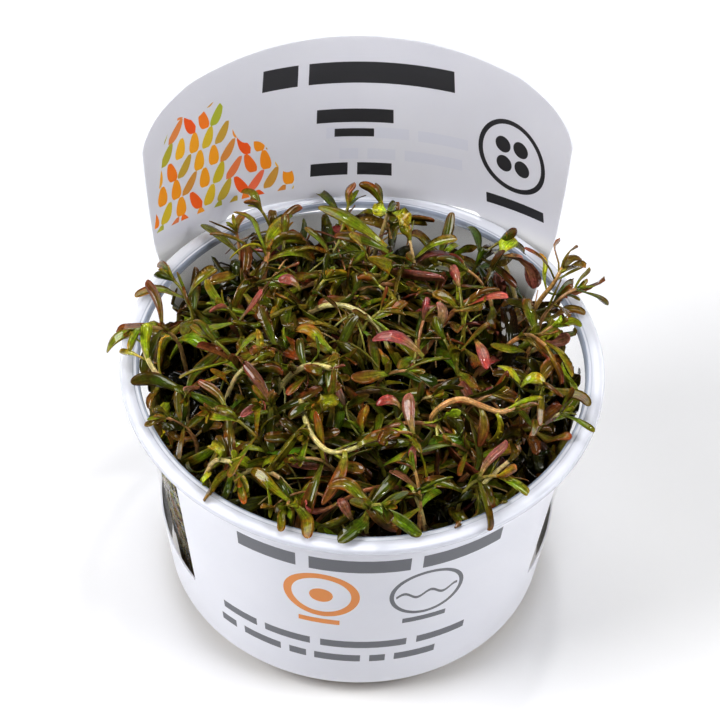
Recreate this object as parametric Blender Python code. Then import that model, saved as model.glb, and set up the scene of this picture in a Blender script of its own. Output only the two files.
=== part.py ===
# Potted rotala: a clear tissue culture cup, its wrap sleeve with a tall tag,
# the nutrient gel, a dense mat of small shoots and the longer shoots that rise out of it.
# Metres, +Z up. The cup stands on the ground plane, its axis is the Z axis, the tag is at the back (+Y).

import math
from random import Random

import bmesh
import bpy
import numpy as np
from mathutils import Vector
from mathutils.bvhtree import BVHTree
from mathutils.geometry import delaunay_2d_cdt

MM = 0.001

# Cup
RIM_TOP = 59.3 * MM
FLANGE_R = 47.5 * MM
FLANGE_T = 1.0 * MM
LIP_DROP = 0.4 * MM
LIP_T = 0.6 * MM
WALL_TOP_R = 44.3 * MM
WALL_BASE_R = 37.94 * MM
WALL_T = 0.8 * MM
CORNER_R = 4.9 * MM
ROUND_STEPS = 40

# Sleeve
GAP = 0.3 * MM
SHEET_T = 0.5 * MM
SLEEVE_LOW = 5.2 * MM
SLEEVE_TURN = math.radians(4.6)
PANEL_HALF = 55.6
PANEL_TOP = 58.0 * MM
WINDOW_LOW = 18.5 * MM
WINDOW_RISE = 4.0 * MM
WINDOW_CORNER = 2.5 * MM
WINDOW_CORNER_FRONT = 0.8 * MM
TAG_RADIUS = 66.8 * MM
TAG_RADIUS_CHANGE = -0.215
TAG_BACK = 45.6 * MM
TAG_LEAN = 0.25
TAG_HEIGHT = 32.6 * MM
TAG_CROWN = 3.5 * MM
TAG_HALF_LOW = 40.0 * MM
TAG_HALF_RIM = 44.3 * MM
TAG_HALF_TOP = 53.9 * MM
TAG_CORNER_X = 13.2 * MM
TAG_CORNER_Z = 8.9 * MM
SLOT_HALF = 27.6 * MM
SLOT_LOW = 55.9 * MM
SLOT_TOP = 59.7 * MM
ARC_SCALE = 44.6 * MM

# Gel and mat of small shoots
GEL_TOP = 15.0 * MM
MAT_CENTRE = 57.5 * MM
MAT_EDGE = 50.5 * MM
MAT_EDGE_R = 40.6 * MM
PIT_R = 2.1 * MM
PIT_DEPTH = 3.4 * MM
ROOT_DEPTH = 1.0 * MM

# Shoots
SHOOT_COUNT = 50
SHOOT_TOP = 70.0 * MM
STEM_R = 0.5 * MM
LEAF_T = 0.42 * MM
LEAF_FOOT = 0.8 * MM
LEAF_WIDEST = 0.52
CLEAR = 0.28 * MM
SEED = 41


def cup_outer(z):
    return WALL_BASE_R + (WALL_TOP_R - WALL_BASE_R) * z / (RIM_TOP - FLANGE_T)


def clear_scene():
    for item in list(bpy.data.objects):
        bpy.data.objects.remove(item, do_unlink=True)


def material(name, colour, rough, metal=0.0, clear=0.0):
    made = bpy.data.materials.new(name)
    made.use_nodes = True
    shader = made.node_tree.nodes["Principled BSDF"]
    shader.inputs["Base Color"].default_value = (*colour, 1.0)
    shader.inputs["Roughness"].default_value = rough
    shader.inputs["Metallic"].default_value = metal
    shader.inputs["Transmission Weight"].default_value = clear
    return made


def add_object(name, points, faces, look, smooth=False):
    mesh = bpy.data.meshes.new(name)
    mesh.from_pydata([tuple(p) for p in points], [], faces)
    mesh.validate()
    work = bmesh.new()
    work.from_mesh(mesh)
    bmesh.ops.recalc_face_normals(work, faces=work.faces)
    if work.calc_volume(signed=True) < 0:
        bmesh.ops.reverse_faces(work, faces=work.faces)
    work.to_mesh(mesh)
    work.free()
    mesh.polygons.foreach_set("use_smooth", [smooth] * len(mesh.polygons))
    mesh.materials.append(look)
    made = bpy.data.objects.new(name, mesh)
    bpy.context.scene.collection.objects.link(made)
    return made


# Round pieces: a closed profile from the axis out and back to the axis
def turned(name, profile, look, steps=ROUND_STEPS):
    points = []
    rows = []
    for r, z in profile:
        if r < 1e-9:
            rows.append([len(points)] * steps)
            points.append((0.0, 0.0, z))
        else:
            rows.append(list(range(len(points), len(points) + steps)))
            for k in range(steps):
                a = 2 * math.pi * k / steps
                points.append((r * math.cos(a), r * math.sin(a), z))
    faces = []
    for low, high in zip(rows, rows[1:]):
        for k in range(steps):
            n = (k + 1) % steps
            loop = [low[k], low[n], high[n], high[k]]
            flat = []
            for v in loop:
                if v not in flat:
                    flat.append(v)
            if len(flat) > 2:
                faces.append(flat)
    return add_object(name, points, faces, look, smooth=True)


def build_cup(look):
    wall_lean = math.atan((WALL_TOP_R - WALL_BASE_R) / (RIM_TOP - FLANGE_T))
    mid_r = cup_outer(CORNER_R) - CORNER_R / math.cos(wall_lean)
    turn = math.pi / 2 - wall_lean
    profile = [(0.0, 0.0)]
    for k in range(4):
        a = turn * k / 3
        profile.append((mid_r + CORNER_R * math.sin(a), CORNER_R - CORNER_R * math.cos(a)))
    under = RIM_TOP - FLANGE_T
    profile.append((WALL_TOP_R, under))
    profile.append((FLANGE_R - LIP_T, under))
    profile.append((FLANGE_R - LIP_T, under - LIP_DROP))
    profile.append((FLANGE_R, under - LIP_DROP))
    profile.append((FLANGE_R, RIM_TOP - 0.3 * MM))
    profile.append((FLANGE_R - 0.3 * MM, RIM_TOP))
    profile.append((WALL_TOP_R + 0.3 * MM, RIM_TOP))
    profile.append((WALL_TOP_R - 0.45 * MM, RIM_TOP - 0.35 * MM))
    profile.append((cup_outer(RIM_TOP - 1.3 * MM) - WALL_T, RIM_TOP - 1.3 * MM))
    inner = CORNER_R - WALL_T
    for k in range(3, -1, -1):
        a = turn * k / 3
        profile.append((mid_r + inner * math.sin(a), CORNER_R - inner * math.cos(a)))
    profile.append((0.0, WALL_T))
    return turned("cup", profile, look)


def build_gel(look):
    profile = [(0.0, WALL_T + GAP)]
    low = CORNER_R - WALL_T - GAP
    wall_lean = math.atan((WALL_TOP_R - WALL_BASE_R) / (RIM_TOP - FLANGE_T))
    mid_r = cup_outer(CORNER_R) - CORNER_R / math.cos(wall_lean)
    turn = math.pi / 2 - wall_lean
    for k in range(3):
        a = turn * k / 2
        profile.append((mid_r + low * math.sin(a) - 0.1 * MM * (k == 1), CORNER_R - low * math.cos(a)))
    profile.append((cup_outer(GEL_TOP) - WALL_T - GAP, GEL_TOP))
    profile.append((0.0, GEL_TOP - 0.6 * MM))
    return turned("nutrient_gel", profile, look)


# Sleeve sheet: turn angle from the front in degrees (0 to 360) and height to a point on its middle
def sheet_point(turn, z):
    flat = cup_outer(z) + GAP + 0.5 * SHEET_T
    a = math.radians(turn)
    cone = Vector((flat * math.sin(a), -flat * math.cos(a), z))
    back = math.radians(180.0 - turn)
    low = WINDOW_LOW - 2.0 * MM
    if abs(180.0 - turn) > 75.0 or z <= low:
        return cone
    arc = back * ARC_SCALE

    def tag(height):
        over = height - RIM_TOP
        bend = TAG_RADIUS + TAG_RADIUS_CHANGE * over
        b = arc / TAG_RADIUS
        away = TAG_BACK + TAG_LEAN * over - bend * (1 - math.cos(b))
        return Vector((bend * math.sin(b), away, height))

    if z >= RIM_TOP:
        return tag(z)
    share = (z - low) / (RIM_TOP - low)
    foot_r = cup_outer(low) + GAP + 0.5 * SHEET_T
    foot = Vector((foot_r * math.sin(back), foot_r * math.cos(back), low))
    return foot.lerp(tag(RIM_TOP), share)


def tag_half(z):
    over = z - RIM_TOP
    if over >= 0:
        return TAG_HALF_RIM + (TAG_HALF_TOP - TAG_HALF_RIM) * over / TAG_HEIGHT
    span = RIM_TOP - WINDOW_LOW
    return TAG_HALF_RIM + (TAG_HALF_RIM - TAG_HALF_LOW) * over / span


# Half of the upper edge, from the front centre round to the middle of the tag
def half_edge():
    line = []
    for turn in np.linspace(0.0, PANEL_HALF - 1.5, 8):
        line.append((turn, PANEL_TOP))
    line.append((PANEL_HALF, PANEL_TOP - 1.5 * MM))
    for z in np.linspace(48.0 * MM, WINDOW_LOW + WINDOW_CORNER_FRONT, 5):
        line.append((PANEL_HALF, z))
    narrow = math.degrees(WINDOW_CORNER_FRONT / ARC_SCALE)
    for k in (1, 2):
        a = math.pi / 2 * k / 2
        line.append((PANEL_HALF + narrow * (1 - math.cos(a)), WINDOW_LOW + WINDOW_CORNER_FRONT * (1 - math.sin(a))))
    wide = math.degrees(WINDOW_CORNER / ARC_SCALE)
    last = 180.0 - math.degrees(tag_half(WINDOW_LOW + WINDOW_RISE + WINDOW_CORNER) / ARC_SCALE)
    first = PANEL_HALF + narrow
    for turn in np.linspace(first, last - wide, 10)[1:]:
        line.append((turn, WINDOW_LOW + WINDOW_RISE * (turn - first) / (last - first)))
    for k in (1, 2, 3):
        a = math.pi / 2 * k / 3
        line.append((last - wide * (1 - math.sin(a)), WINDOW_LOW + WINDOW_RISE + WINDOW_CORNER * (1 - math.cos(a))))
    top = RIM_TOP + TAG_HEIGHT
    for z in np.linspace(WINDOW_LOW + WINDOW_RISE + WINDOW_CORNER + 6 * MM, top - TAG_CORNER_Z, 9):
        line.append((180.0 - math.degrees(tag_half(z) / ARC_SCALE), z))
    centre = tag_half(top - TAG_CORNER_Z) - TAG_CORNER_X
    for k in range(1, 6):
        a = math.pi / 2 * k / 5
        arc = centre + TAG_CORNER_X * math.cos(a)
        crown = TAG_CROWN * max(0.0, 1 - (arc / TAG_HALF_RIM) ** 2) if k == 5 else 0.0
        line.append((180.0 - math.degrees(arc / ARC_SCALE), top - TAG_CORNER_Z * (1 - math.sin(a)) + crown))
    for arc in np.linspace(centre, 0.0, 8)[1:]:
        crown = TAG_CROWN * (1 - (arc / TAG_HALF_RIM) ** 2)
        line.append((180.0 - math.degrees(arc / ARC_SCALE), top + crown))
    return line


def slot_edge():
    loop = []
    mid = 0.5 * (SLOT_LOW + SLOT_TOP)
    r = 0.5 * (SLOT_TOP - SLOT_LOW)
    for arc in np.linspace(-SLOT_HALF + r, SLOT_HALF - r, 11):
        loop.append((arc, SLOT_LOW))
    for k in (1, 2, 3):
        a = math.pi * k / 4
        loop.append((SLOT_HALF - r + r * math.sin(a), mid - r * math.cos(a)))
    for arc in np.linspace(SLOT_HALF - r, -SLOT_HALF + r, 11):
        loop.append((arc, SLOT_TOP))
    for k in (1, 2, 3):
        a = math.pi * k / 4
        loop.append((-SLOT_HALF + r - r * math.sin(a), mid + r * math.cos(a)))
    return [(180.0 - math.degrees(arc / ARC_SCALE), z) for arc, z in loop]


def inside(loop, x, y):
    hit = False
    for (ax, ay), (bx, by) in zip(loop, loop[1:] + loop[:1]):
        if (ay > y) != (by > y) and x < ax + (bx - ax) * (y - ay) / (by - ay):
            hit = not hit
    return hit


def build_sleeve(look):
    half = half_edge()
    upper = half + [(360.0 - t, z) for t, z in half[-2::-1]]
    side = [SLEEVE_LOW + (PANEL_TOP - SLEEVE_LOW) * k / 5 for k in range(1, 5)]
    low = [(t, SLEEVE_LOW) for t in np.linspace(360.0, 0.0, 41)]
    loop = upper + [(360.0, z) for z in side[::-1]] + low + [(0.0, z) for z in side]
    slot = slot_edge()
    scale = ARC_SCALE * math.radians(1.0)
    points = [Vector((t * scale, z)) for t, z in loop + slot]
    edges = [(k, (k + 1) % len(loop)) for k in range(len(loop))]
    base = len(loop)
    edges += [(base + k, base + (k + 1) % len(slot)) for k in range(len(slot))]
    flat_loop = [(p.x, p.y) for p in points[:base]]
    flat_slot = [(p.x, p.y) for p in points[base:]]
    bounds = flat_loop + flat_slot
    for column in range(1, 48):
        turn = 7.5 * column
        for row in range(1, 12):
            z = SLEEVE_LOW + 8.2 * MM * row - (2.0 * MM if row > 5 else 0.0)
            x = turn * scale
            if inside(flat_loop, x, z) and not inside(flat_slot, x, z):
                if min(math.hypot(x - bx, z - by) for bx, by in bounds) > 2.6 * MM:
                    points.append(Vector((x, z)))
    flat, _, tris, *_ = delaunay_2d_cdt(points, edges, [], 0, 1e-9)
    kept = []
    for tri in tris:
        cx = sum(flat[v].x for v in tri) / 3
        cy = sum(flat[v].y for v in tri) / 3
        if inside(flat_loop, cx, cy) and not inside(flat_slot, cx, cy):
            kept.append(tuple(tri))
    middle = []
    normal = []
    for p in flat:
        t = p.x / scale
        here = sheet_point(t, p.y)
        across = sheet_point(t + 0.3, p.y) - sheet_point(t - 0.3, p.y)
        along = sheet_point(t, p.y + 0.2 * MM) - sheet_point(t, p.y - 0.2 * MM)
        middle.append(here)
        normal.append(across.cross(along).normalized())
    count = len(flat)
    out = [m + n * 0.5 * SHEET_T for m, n in zip(middle, normal)]
    back = [m - n * 0.5 * SHEET_T for m, n in zip(middle, normal)]
    faces = list(kept) + [tuple(v + count for v in tri[::-1]) for tri in kept]
    used = {}
    for a, b, c in kept:
        for e in ((a, b), (b, c), (c, a)):
            used[e] = used.get(e, 0) + 1
    seam = 1e-7
    width = 360.0 * scale
    for a, b in used:
        if (b, a) in used:
            continue
        on_left = flat[a].x < seam and flat[b].x < seam
        on_right = flat[a].x > width - seam and flat[b].x > width - seam
        if not on_left and not on_right:
            faces.append((b, a, a + count, b + count))
    mesh = bpy.data.meshes.new("sleeve")
    spin_c = math.cos(SLEEVE_TURN)
    spin_s = math.sin(SLEEVE_TURN)
    turned_points = [(p.x * spin_c - p.y * spin_s, p.x * spin_s + p.y * spin_c, p.z) for p in out + back]
    mesh.from_pydata(turned_points, [], faces)
    work = bmesh.new()
    work.from_mesh(mesh)
    bmesh.ops.remove_doubles(work, verts=work.verts, dist=1e-6)
    loose = [v for v in work.verts if not v.link_faces]
    bmesh.ops.delete(work, geom=loose, context="VERTS")
    bmesh.ops.recalc_face_normals(work, faces=work.faces)
    if work.calc_volume(signed=True) < 0:
        bmesh.ops.reverse_faces(work, faces=work.faces)
    work.to_mesh(mesh)
    work.free()
    mesh.materials.append(look)
    made = bpy.data.objects.new("sleeve", mesh)
    bpy.context.scene.collection.objects.link(made)
    return made


# Top of the mat of small shoots at a place
def mat_height(x, y):
    r = math.hypot(x, y) / MAT_EDGE_R
    lumps = math.sin(x * 330 + 1.0) * math.sin(y * 290 + 0.4) + 0.6 * math.sin(x * 610 - y * 520)
    return MAT_CENTRE + (MAT_EDGE - MAT_CENTRE) * r ** 2.2 + 1.1 * MM * lumps


def mat_edge(a):
    return MAT_EDGE_R + (0.5 * math.sin(5 * a + 0.7) + 0.35 * math.sin(11 * a)) * MM


# Feet of the shoots: an even scatter with a few chosen ones that lean over the rim
def shoot_feet(rnd):
    chosen = [
        (-35.5, 3.0), (35.0, 14.5), (5.0, 34.0), (-18.5, 31.5), (21.0, 24.5),
        (-12.0, -34.0), (12.0, -35.0), (33.5, -14.0), (-31.0, -19.0),
    ]
    feet = [(x * MM, y * MM) for x, y in chosen]
    reach = 8.9 * MM
    while len(feet) < SHOOT_COUNT:
        for _ in range(400):
            a = rnd.uniform(0, 2 * math.pi)
            r = 37.2 * MM * math.sqrt(rnd.random())
            x = r * math.cos(a)
            y = r * math.sin(a)
            if all(math.hypot(x - fx, y - fy) > reach for fx, fy in feet):
                feet.append((x, y))
                break
        else:
            reach *= 0.96
    return feet


def build_mat(feet, look):
    rnd = Random(SEED + 7)
    steps = 40
    flat = []
    height = []
    for x, y in feet:
        flat.append(Vector((x, y)))
        height.append(mat_height(x, y) - PIT_DEPTH)
        for k in range(6):
            a = math.pi / 3 * k
            px = x + PIT_R * math.cos(a)
            py = y + PIT_R * math.sin(a)
            flat.append(Vector((px, py)))
            height.append(mat_height(x, y) + 0.25 * MM * math.sin(3 * a + x * 900))
    first_ring = len(flat)
    for k in range(steps):
        a = 2 * math.pi * k / steps
        r = mat_edge(a)
        flat.append(Vector((r * math.cos(a), r * math.sin(a))))
        height.append(mat_height(r * math.cos(a), r * math.sin(a)) - 1.0 * MM)
    for _ in range(4000):
        a = rnd.uniform(0, 2 * math.pi)
        r = (MAT_EDGE_R - 3 * MM) * math.sqrt(rnd.random())
        p = Vector((r * math.cos(a), r * math.sin(a)))
        if all((p - q).length > 3.9 * MM for q in flat):
            flat.append(p)
            height.append(mat_height(p.x, p.y) + rnd.uniform(0.4, 2.2) * MM)
    ring_edges = [(first_ring + k, first_ring + (k + 1) % steps) for k in range(steps)]
    got, _, tris, *_ = delaunay_2d_cdt(flat, ring_edges, [], 1, 1e-9)
    points = [(p.x, p.y, height[k]) for k, p in enumerate(got)]
    faces = [tuple(t) for t in tris]
    last = [first_ring + k for k in range(steps)]
    levels = [(38.0 * MM, 0.6), (26.0 * MM, 0.4), (GEL_TOP + GAP, 0.4)]
    for z, inset in levels:
        row = []
        for k in range(steps):
            a = 2 * math.pi * k / steps
            r = min(mat_edge(a) + 0.5 * MM, cup_outer(z) - WALL_T - inset * MM)
            row.append(len(points))
            points.append((r * math.cos(a), r * math.sin(a), z))
        for k in range(steps):
            n = (k + 1) % steps
            faces.append((last[k], row[k], row[n], last[n]))
        last = row
    hub = len(points)
    points.append((0.0, 0.0, GEL_TOP + GAP))
    for k in range(steps):
        faces.append((last[(k + 1) % steps], last[k], hub))
    return add_object("small_shoots", points, faces, look)


# One shoot: a square stem whose side faces open into pairs of leaves, each pair turned a quarter
def shoot_mesh(foot, rnd, size, aim):
    length = size * rnd.uniform(13.0, 19.0) * MM
    start = math.radians(rnd.uniform(2, 10))
    end = math.radians(rnd.uniform(25, 88))
    azimuth = rnd.uniform(0, 2 * math.pi)
    if aim is not None:
        azimuth = aim[0] + rnd.uniform(-0.2, 0.2)
        end = math.radians(rnd.uniform(aim[1], aim[1] + 14))
        length = aim[2] * MM * rnd.uniform(0.92, 1.05)
    twist = rnd.uniform(-0.9, 0.9)
    pairs = 3
    fractions = [0.0]
    for k in range(pairs):
        f = 0.34 + 0.6 * k / (pairs - 1) + rnd.uniform(-0.03, 0.03) * (k < pairs - 1)
        fractions.append(f)
        fractions.append(f + LEAF_FOOT / length)
    here = Vector((foot[0], foot[1], mat_height(*foot) - ROOT_DEPTH))
    side = Vector((math.cos(azimuth + 1.2), math.sin(azimuth + 1.2), 0.0))
    stations = []
    fine = 48
    pending = list(fractions)
    for k in range(fine + 6):
        t = k / fine
        angle = start + (end - start) * max(0.0, t - 0.12) ** 1.2
        turn = azimuth + twist * t
        ahead = Vector((math.sin(angle) * math.cos(turn), math.sin(angle) * math.sin(turn), math.cos(angle)))
        side = (side - ahead * side.dot(ahead)).normalized()
        while pending and t >= pending[0] - 1e-9:
            stations.append((here.copy(), ahead.copy(), side.copy(), t))
            pending.pop(0)
        if not pending:
            break
        here = here + ahead * (length / fine)
    points = []
    faces = []
    rings = []
    for place, ahead, across, t in stations:
        r = STEM_R * (1.0 - 0.35 * t)
        other = ahead.cross(across)
        ring = []
        for k in range(4):
            a = math.pi / 4 + math.pi / 2 * k
            ring.append(len(points))
            points.append(place + across * (r * 1.3 * math.cos(a)) + other * (r * 1.3 * math.sin(a)))
        rings.append(ring)
    for k in range(len(rings) - 1):
        low = rings[k]
        high = rings[k + 1]
        is_node = k % 2 == 1
        pair = k // 2
        for s in range(4):
            n = (s + 1) % 4
            quad = (low[s], low[n], high[n], high[s])
            if not is_node or s % 2 != pair % 2:
                faces.append(quad)
                continue
            place, ahead, across, t = stations[k]
            middle = (points[quad[0]] + points[quad[1]] + points[quad[2]] + points[quad[3]]) / 4
            outward = (middle - place - ahead * (middle - place).dot(ahead)).normalized()
            wide = (points[quad[1]] - points[quad[0]]).normalized()
            last = pair == pairs - 1
            spread = math.radians(rnd.uniform(22, 42) if last else rnd.uniform(48, 84))
            span = size * (rnd.uniform(5.0, 7.5) if last else rnd.uniform(7.5, 10.5)) * MM
            breadth = size * (rnd.uniform(1.5, 2.0) if last else rnd.uniform(1.9, 2.6)) * MM
            heading = (outward * math.sin(spread) + ahead * math.cos(spread)).normalized()
            sag = rnd.uniform(-0.15, 0.75)
            upper = heading.cross(wide)
            if upper.dot(ahead) < 0:
                upper = -upper
            mid = middle + heading * (span * LEAF_WIDEST) - Vector((0, 0, 1)) * (span * 0.06 * sag)
            bend = (heading - Vector((0, 0, 1)) * sag * 0.6 + wide * rnd.uniform(-0.25, 0.25)).normalized()
            tip = mid + bend * (span * (1.0 - LEAF_WIDEST))
            base = len(points)
            for sw, sn in ((-1, -1), (1, -1), (1, 1), (-1, 1)):
                points.append(mid + wide * (0.5 * breadth * sw) + upper * (0.5 * LEAF_T * sn))
            points.append(tip)
            section = [base, base + 1, base + 2, base + 3]
            for m in range(4):
                q = (m + 1) % 4
                faces.append((quad[m], quad[q], section[q], section[m]))
                faces.append((section[m], section[q], base + 4))
    faces.append(tuple(rings[0][::-1]))
    place, ahead, across, t = stations[-1]
    bud = len(points)
    points.append(place + ahead * 1.1 * MM)
    for s in range(4):
        faces.append((rings[-1][s], rings[-1][(s + 1) % 4], bud))
    return points, faces


def triangles(points, faces):
    out = []
    for f in faces:
        for k in range(1, len(f) - 1):
            out.append((f[0], f[k], f[k + 1]))
    return out


def swollen(points, tris, amount):
    spread = [Vector((0, 0, 0)) for _ in points]
    for a, b, c in tris:
        n = (points[b] - points[a]).cross(points[c] - points[a]).normalized()
        for v in (a, b, c):
            spread[v] += n
    return [p + n.normalized() * amount * 1.35 for p, n in zip(points, spread)]


def crosses_itself(points, tris):
    tree = BVHTree.FromPolygons(points, tris)
    for a, b in tree.overlap(tree):
        if a < b and not set(tris[a]) & set(tris[b]):
            return True
    return False


def box_of(points):
    low = [min(p[k] for p in points) for k in range(3)]
    high = [max(p[k] for p in points) for k in range(3)]
    return low, high


def apart(one, two):
    return any(one[0][k] > two[1][k] or two[0][k] > one[1][k] for k in range(3))


def object_tree(made):
    points = [v.co.copy() for v in made.data.vertices]
    faces = [tuple(p.vertices) for p in made.data.polygons]
    return BVHTree.FromPolygons(points, triangles(points, faces)), box_of(points)


def build_shoots(feet, fixed, looks):
    taken = [object_tree(made) for made in fixed]
    aims = {
        0: (3.05, 78, 17), 1: (0.35, 70, 17), 2: (1.6, 55, 15), 3: (2.1, 45, 16), 4: (0.9, 60, 15),
        5: (4.4, 60, 13), 6: (5.0, 60, 13), 7: (5.9, 60, 13), 8: (3.7, 60, 13),
    }
    done = 0
    for number, foot in enumerate(feet):
        rnd = Random(SEED * 1000 + number)
        for attempt in range(260):
            size = 1.0 - 0.45 * attempt / 260
            aim = aims.get(number) if attempt < 160 else None
            points, faces = shoot_mesh(foot, rnd, size, aim)
            tris = triangles(points, faces)
            if max(p.z for p in points) > SHOOT_TOP:
                continue
            wide = swollen(points, tris, CLEAR)
            box = box_of(wide)
            tree = BVHTree.FromPolygons(wide, tris)
            if any(not apart(box, other_box) and tree.overlap(other) for other, other_box in taken):
                continue
            if crosses_itself(points, tris):
                continue
            taken.append((BVHTree.FromPolygons(points, tris), box_of(points)))
            done += 1
            add_object(f"shoot_{done:02d}", points, faces, looks[number % len(looks)])
            break
    print("shoots", done)


clear_scene()
clear_plastic = material("clear_plastic", (0.86, 0.90, 0.96), 0.12, clear=0.6)
sleeve_plastic = material("sleeve_plastic", (0.88, 0.88, 0.92), 0.35)
gel_amber = material("gel_amber", (0.30, 0.20, 0.09), 0.25, clear=0.3)
mat_green = material("mat_green", (0.06, 0.10, 0.02), 0.6)
leaf_looks = [
    material("leaf_green", (0.10, 0.20, 0.03), 0.4),
    material("leaf_olive", (0.16, 0.17, 0.04), 0.4),
    material("leaf_bright", (0.30, 0.45, 0.08), 0.4),
    material("leaf_bronze", (0.28, 0.12, 0.05), 0.4),
    material("leaf_rose", (0.50, 0.18, 0.20), 0.4),
]
cup = build_cup(clear_plastic)
sleeve = build_sleeve(sleeve_plastic)
build_gel(gel_amber)
places = shoot_feet(Random(SEED))
mat = build_mat(places, mat_green)
build_shoots(places, [cup, sleeve, mat], leaf_looks)
total = 0
for item in bpy.data.objects:
    total += sum(len(p.vertices) - 2 for p in item.data.polygons)
print("triangles", total)
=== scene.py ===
import math
from random import Random

import bmesh
import bpy
import numpy as np
from mathutils import Matrix, Vector
from mathutils.geometry import delaunay_2d_cdt


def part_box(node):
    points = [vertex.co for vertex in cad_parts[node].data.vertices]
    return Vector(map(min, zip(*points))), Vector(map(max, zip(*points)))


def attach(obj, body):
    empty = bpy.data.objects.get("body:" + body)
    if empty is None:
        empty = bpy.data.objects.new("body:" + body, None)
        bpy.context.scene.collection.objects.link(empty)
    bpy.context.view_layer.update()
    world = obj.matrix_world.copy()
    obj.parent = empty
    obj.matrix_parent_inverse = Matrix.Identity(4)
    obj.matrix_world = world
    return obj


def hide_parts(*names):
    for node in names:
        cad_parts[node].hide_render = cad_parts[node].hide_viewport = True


# Potted rotala: a clear cup, a wrap sleeve with a tall tag, a gel block, fifty long shoots and the tangle of
# small ones. Metres, +Z up, front towards -Y, the same frame as the solids.

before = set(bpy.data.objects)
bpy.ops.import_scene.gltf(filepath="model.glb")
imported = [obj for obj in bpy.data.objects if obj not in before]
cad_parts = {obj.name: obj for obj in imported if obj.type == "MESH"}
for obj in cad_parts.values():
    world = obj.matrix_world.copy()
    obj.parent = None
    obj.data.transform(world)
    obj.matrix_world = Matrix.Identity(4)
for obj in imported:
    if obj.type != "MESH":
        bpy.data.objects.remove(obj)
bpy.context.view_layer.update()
mm = 0.001
fullTurn = 2 * math.pi


# One mesh object from arrays: points (n, 3), four-cornered and three-cornered faces, and per point a map
# place (u, v) and a tint. looks is a list of materials and kinds gives the material of each face.
def makeObject(name, points, quads, tris, looks, uv=None, tint=None, kinds=None, smooth=True):
    mesh = bpy.data.meshes.new(name)
    corners = np.concatenate([np.ravel(quads), np.ravel(tris)]).astype(np.int32)
    fours = len(quads) * 4
    starts = np.concatenate([np.arange(0, fours, 4), fours + np.arange(len(tris)) * 3]).astype(np.int32)
    mesh.vertices.add(len(points))
    mesh.vertices.foreach_set("co", np.ravel(points).astype(np.float32))
    mesh.loops.add(len(corners))
    mesh.loops.foreach_set("vertex_index", corners)
    mesh.polygons.add(len(starts))
    mesh.polygons.foreach_set("loop_start", starts)
    if kinds is not None:
        mesh.polygons.foreach_set("material_index", np.asarray(kinds, np.int32))
    mesh.polygons.foreach_set("use_smooth", np.full(len(starts), smooth))
    for look in looks:
        mesh.materials.append(look)
    mesh.update(calc_edges=True)
    if uv is not None:
        layer = mesh.uv_layers.new(name="place")
        layer.data.foreach_set("uv", np.ravel(np.asarray(uv)[corners]).astype(np.float32))
    if tint is not None:
        layer = mesh.attributes.new("tint", "FLOAT_COLOR", "POINT")
        layer.data.foreach_set("color", np.ravel(tint).astype(np.float32))
    made = bpy.data.objects.new(name, mesh)
    bpy.context.scene.collection.objects.link(made)
    return made


# A piece rides the root body, and the solid it stands for is hidden.
def settle(piece, node):
    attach(piece, "root")
    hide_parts(node)
    return piece


def unit(v):
    return v / np.maximum(np.linalg.norm(v, axis=-1, keepdims=True), 1e-12)


# Four-cornered faces between neighbouring rings of points; with closed, the last ring joins the first.
def ringQuads(rings, around, closed=False):
    low = np.arange(rings if closed else rings - 1)[:, None] * around
    high = (low + around) % (rings * around)
    here = np.arange(around)[None]
    after = (here + 1) % around
    return np.stack([low + here, low + after, high + after, high + here], -1).reshape(-1, 4)


# The same faces for every copy: points (n, per, 3) in one list, face numbers moved on by a copy's points.
def copies(points, quads, tris, uv):
    n, per = points.shape[:2]
    move = (np.arange(n) * per)[:, None, None]
    return (points.reshape(-1, 3), (quads + move).reshape(-1, 4), (tris + move).reshape(-1, 3),
            np.tile(uv, (n, 1)), per)


# One Math operation on shader values and numbers; with swap the value comes second, as in 1 - mask.
def mathStep(kind, swap=False):
    def work(self, *others):
        given = (*others, self) if swap else (self, *others)
        return self.shop.node("ShaderNodeMath", dict(operation=kind), dict(enumerate(given)))
    return work


# Shader values: an expression on these adds its Math nodes.
class Value:
    def __init__(self, shop, link):
        self.shop = shop
        self.link = link

    __add__ = __radd__ = mathStep("ADD")
    __mul__ = __rmul__ = mathStep("MULTIPLY")
    __sub__ = mathStep("SUBTRACT")
    __rsub__ = mathStep("SUBTRACT", swap=True)
    __truediv__ = mathStep("DIVIDE")
    __pow__ = mathStep("POWER")
    __lt__ = mathStep("LESS_THAN")
    __gt__ = mathStep("GREATER_THAN")
    __abs__ = mathStep("ABSOLUTE")
    sine = mathStep("SINE")
    floor = mathStep("FLOOR")


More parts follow.
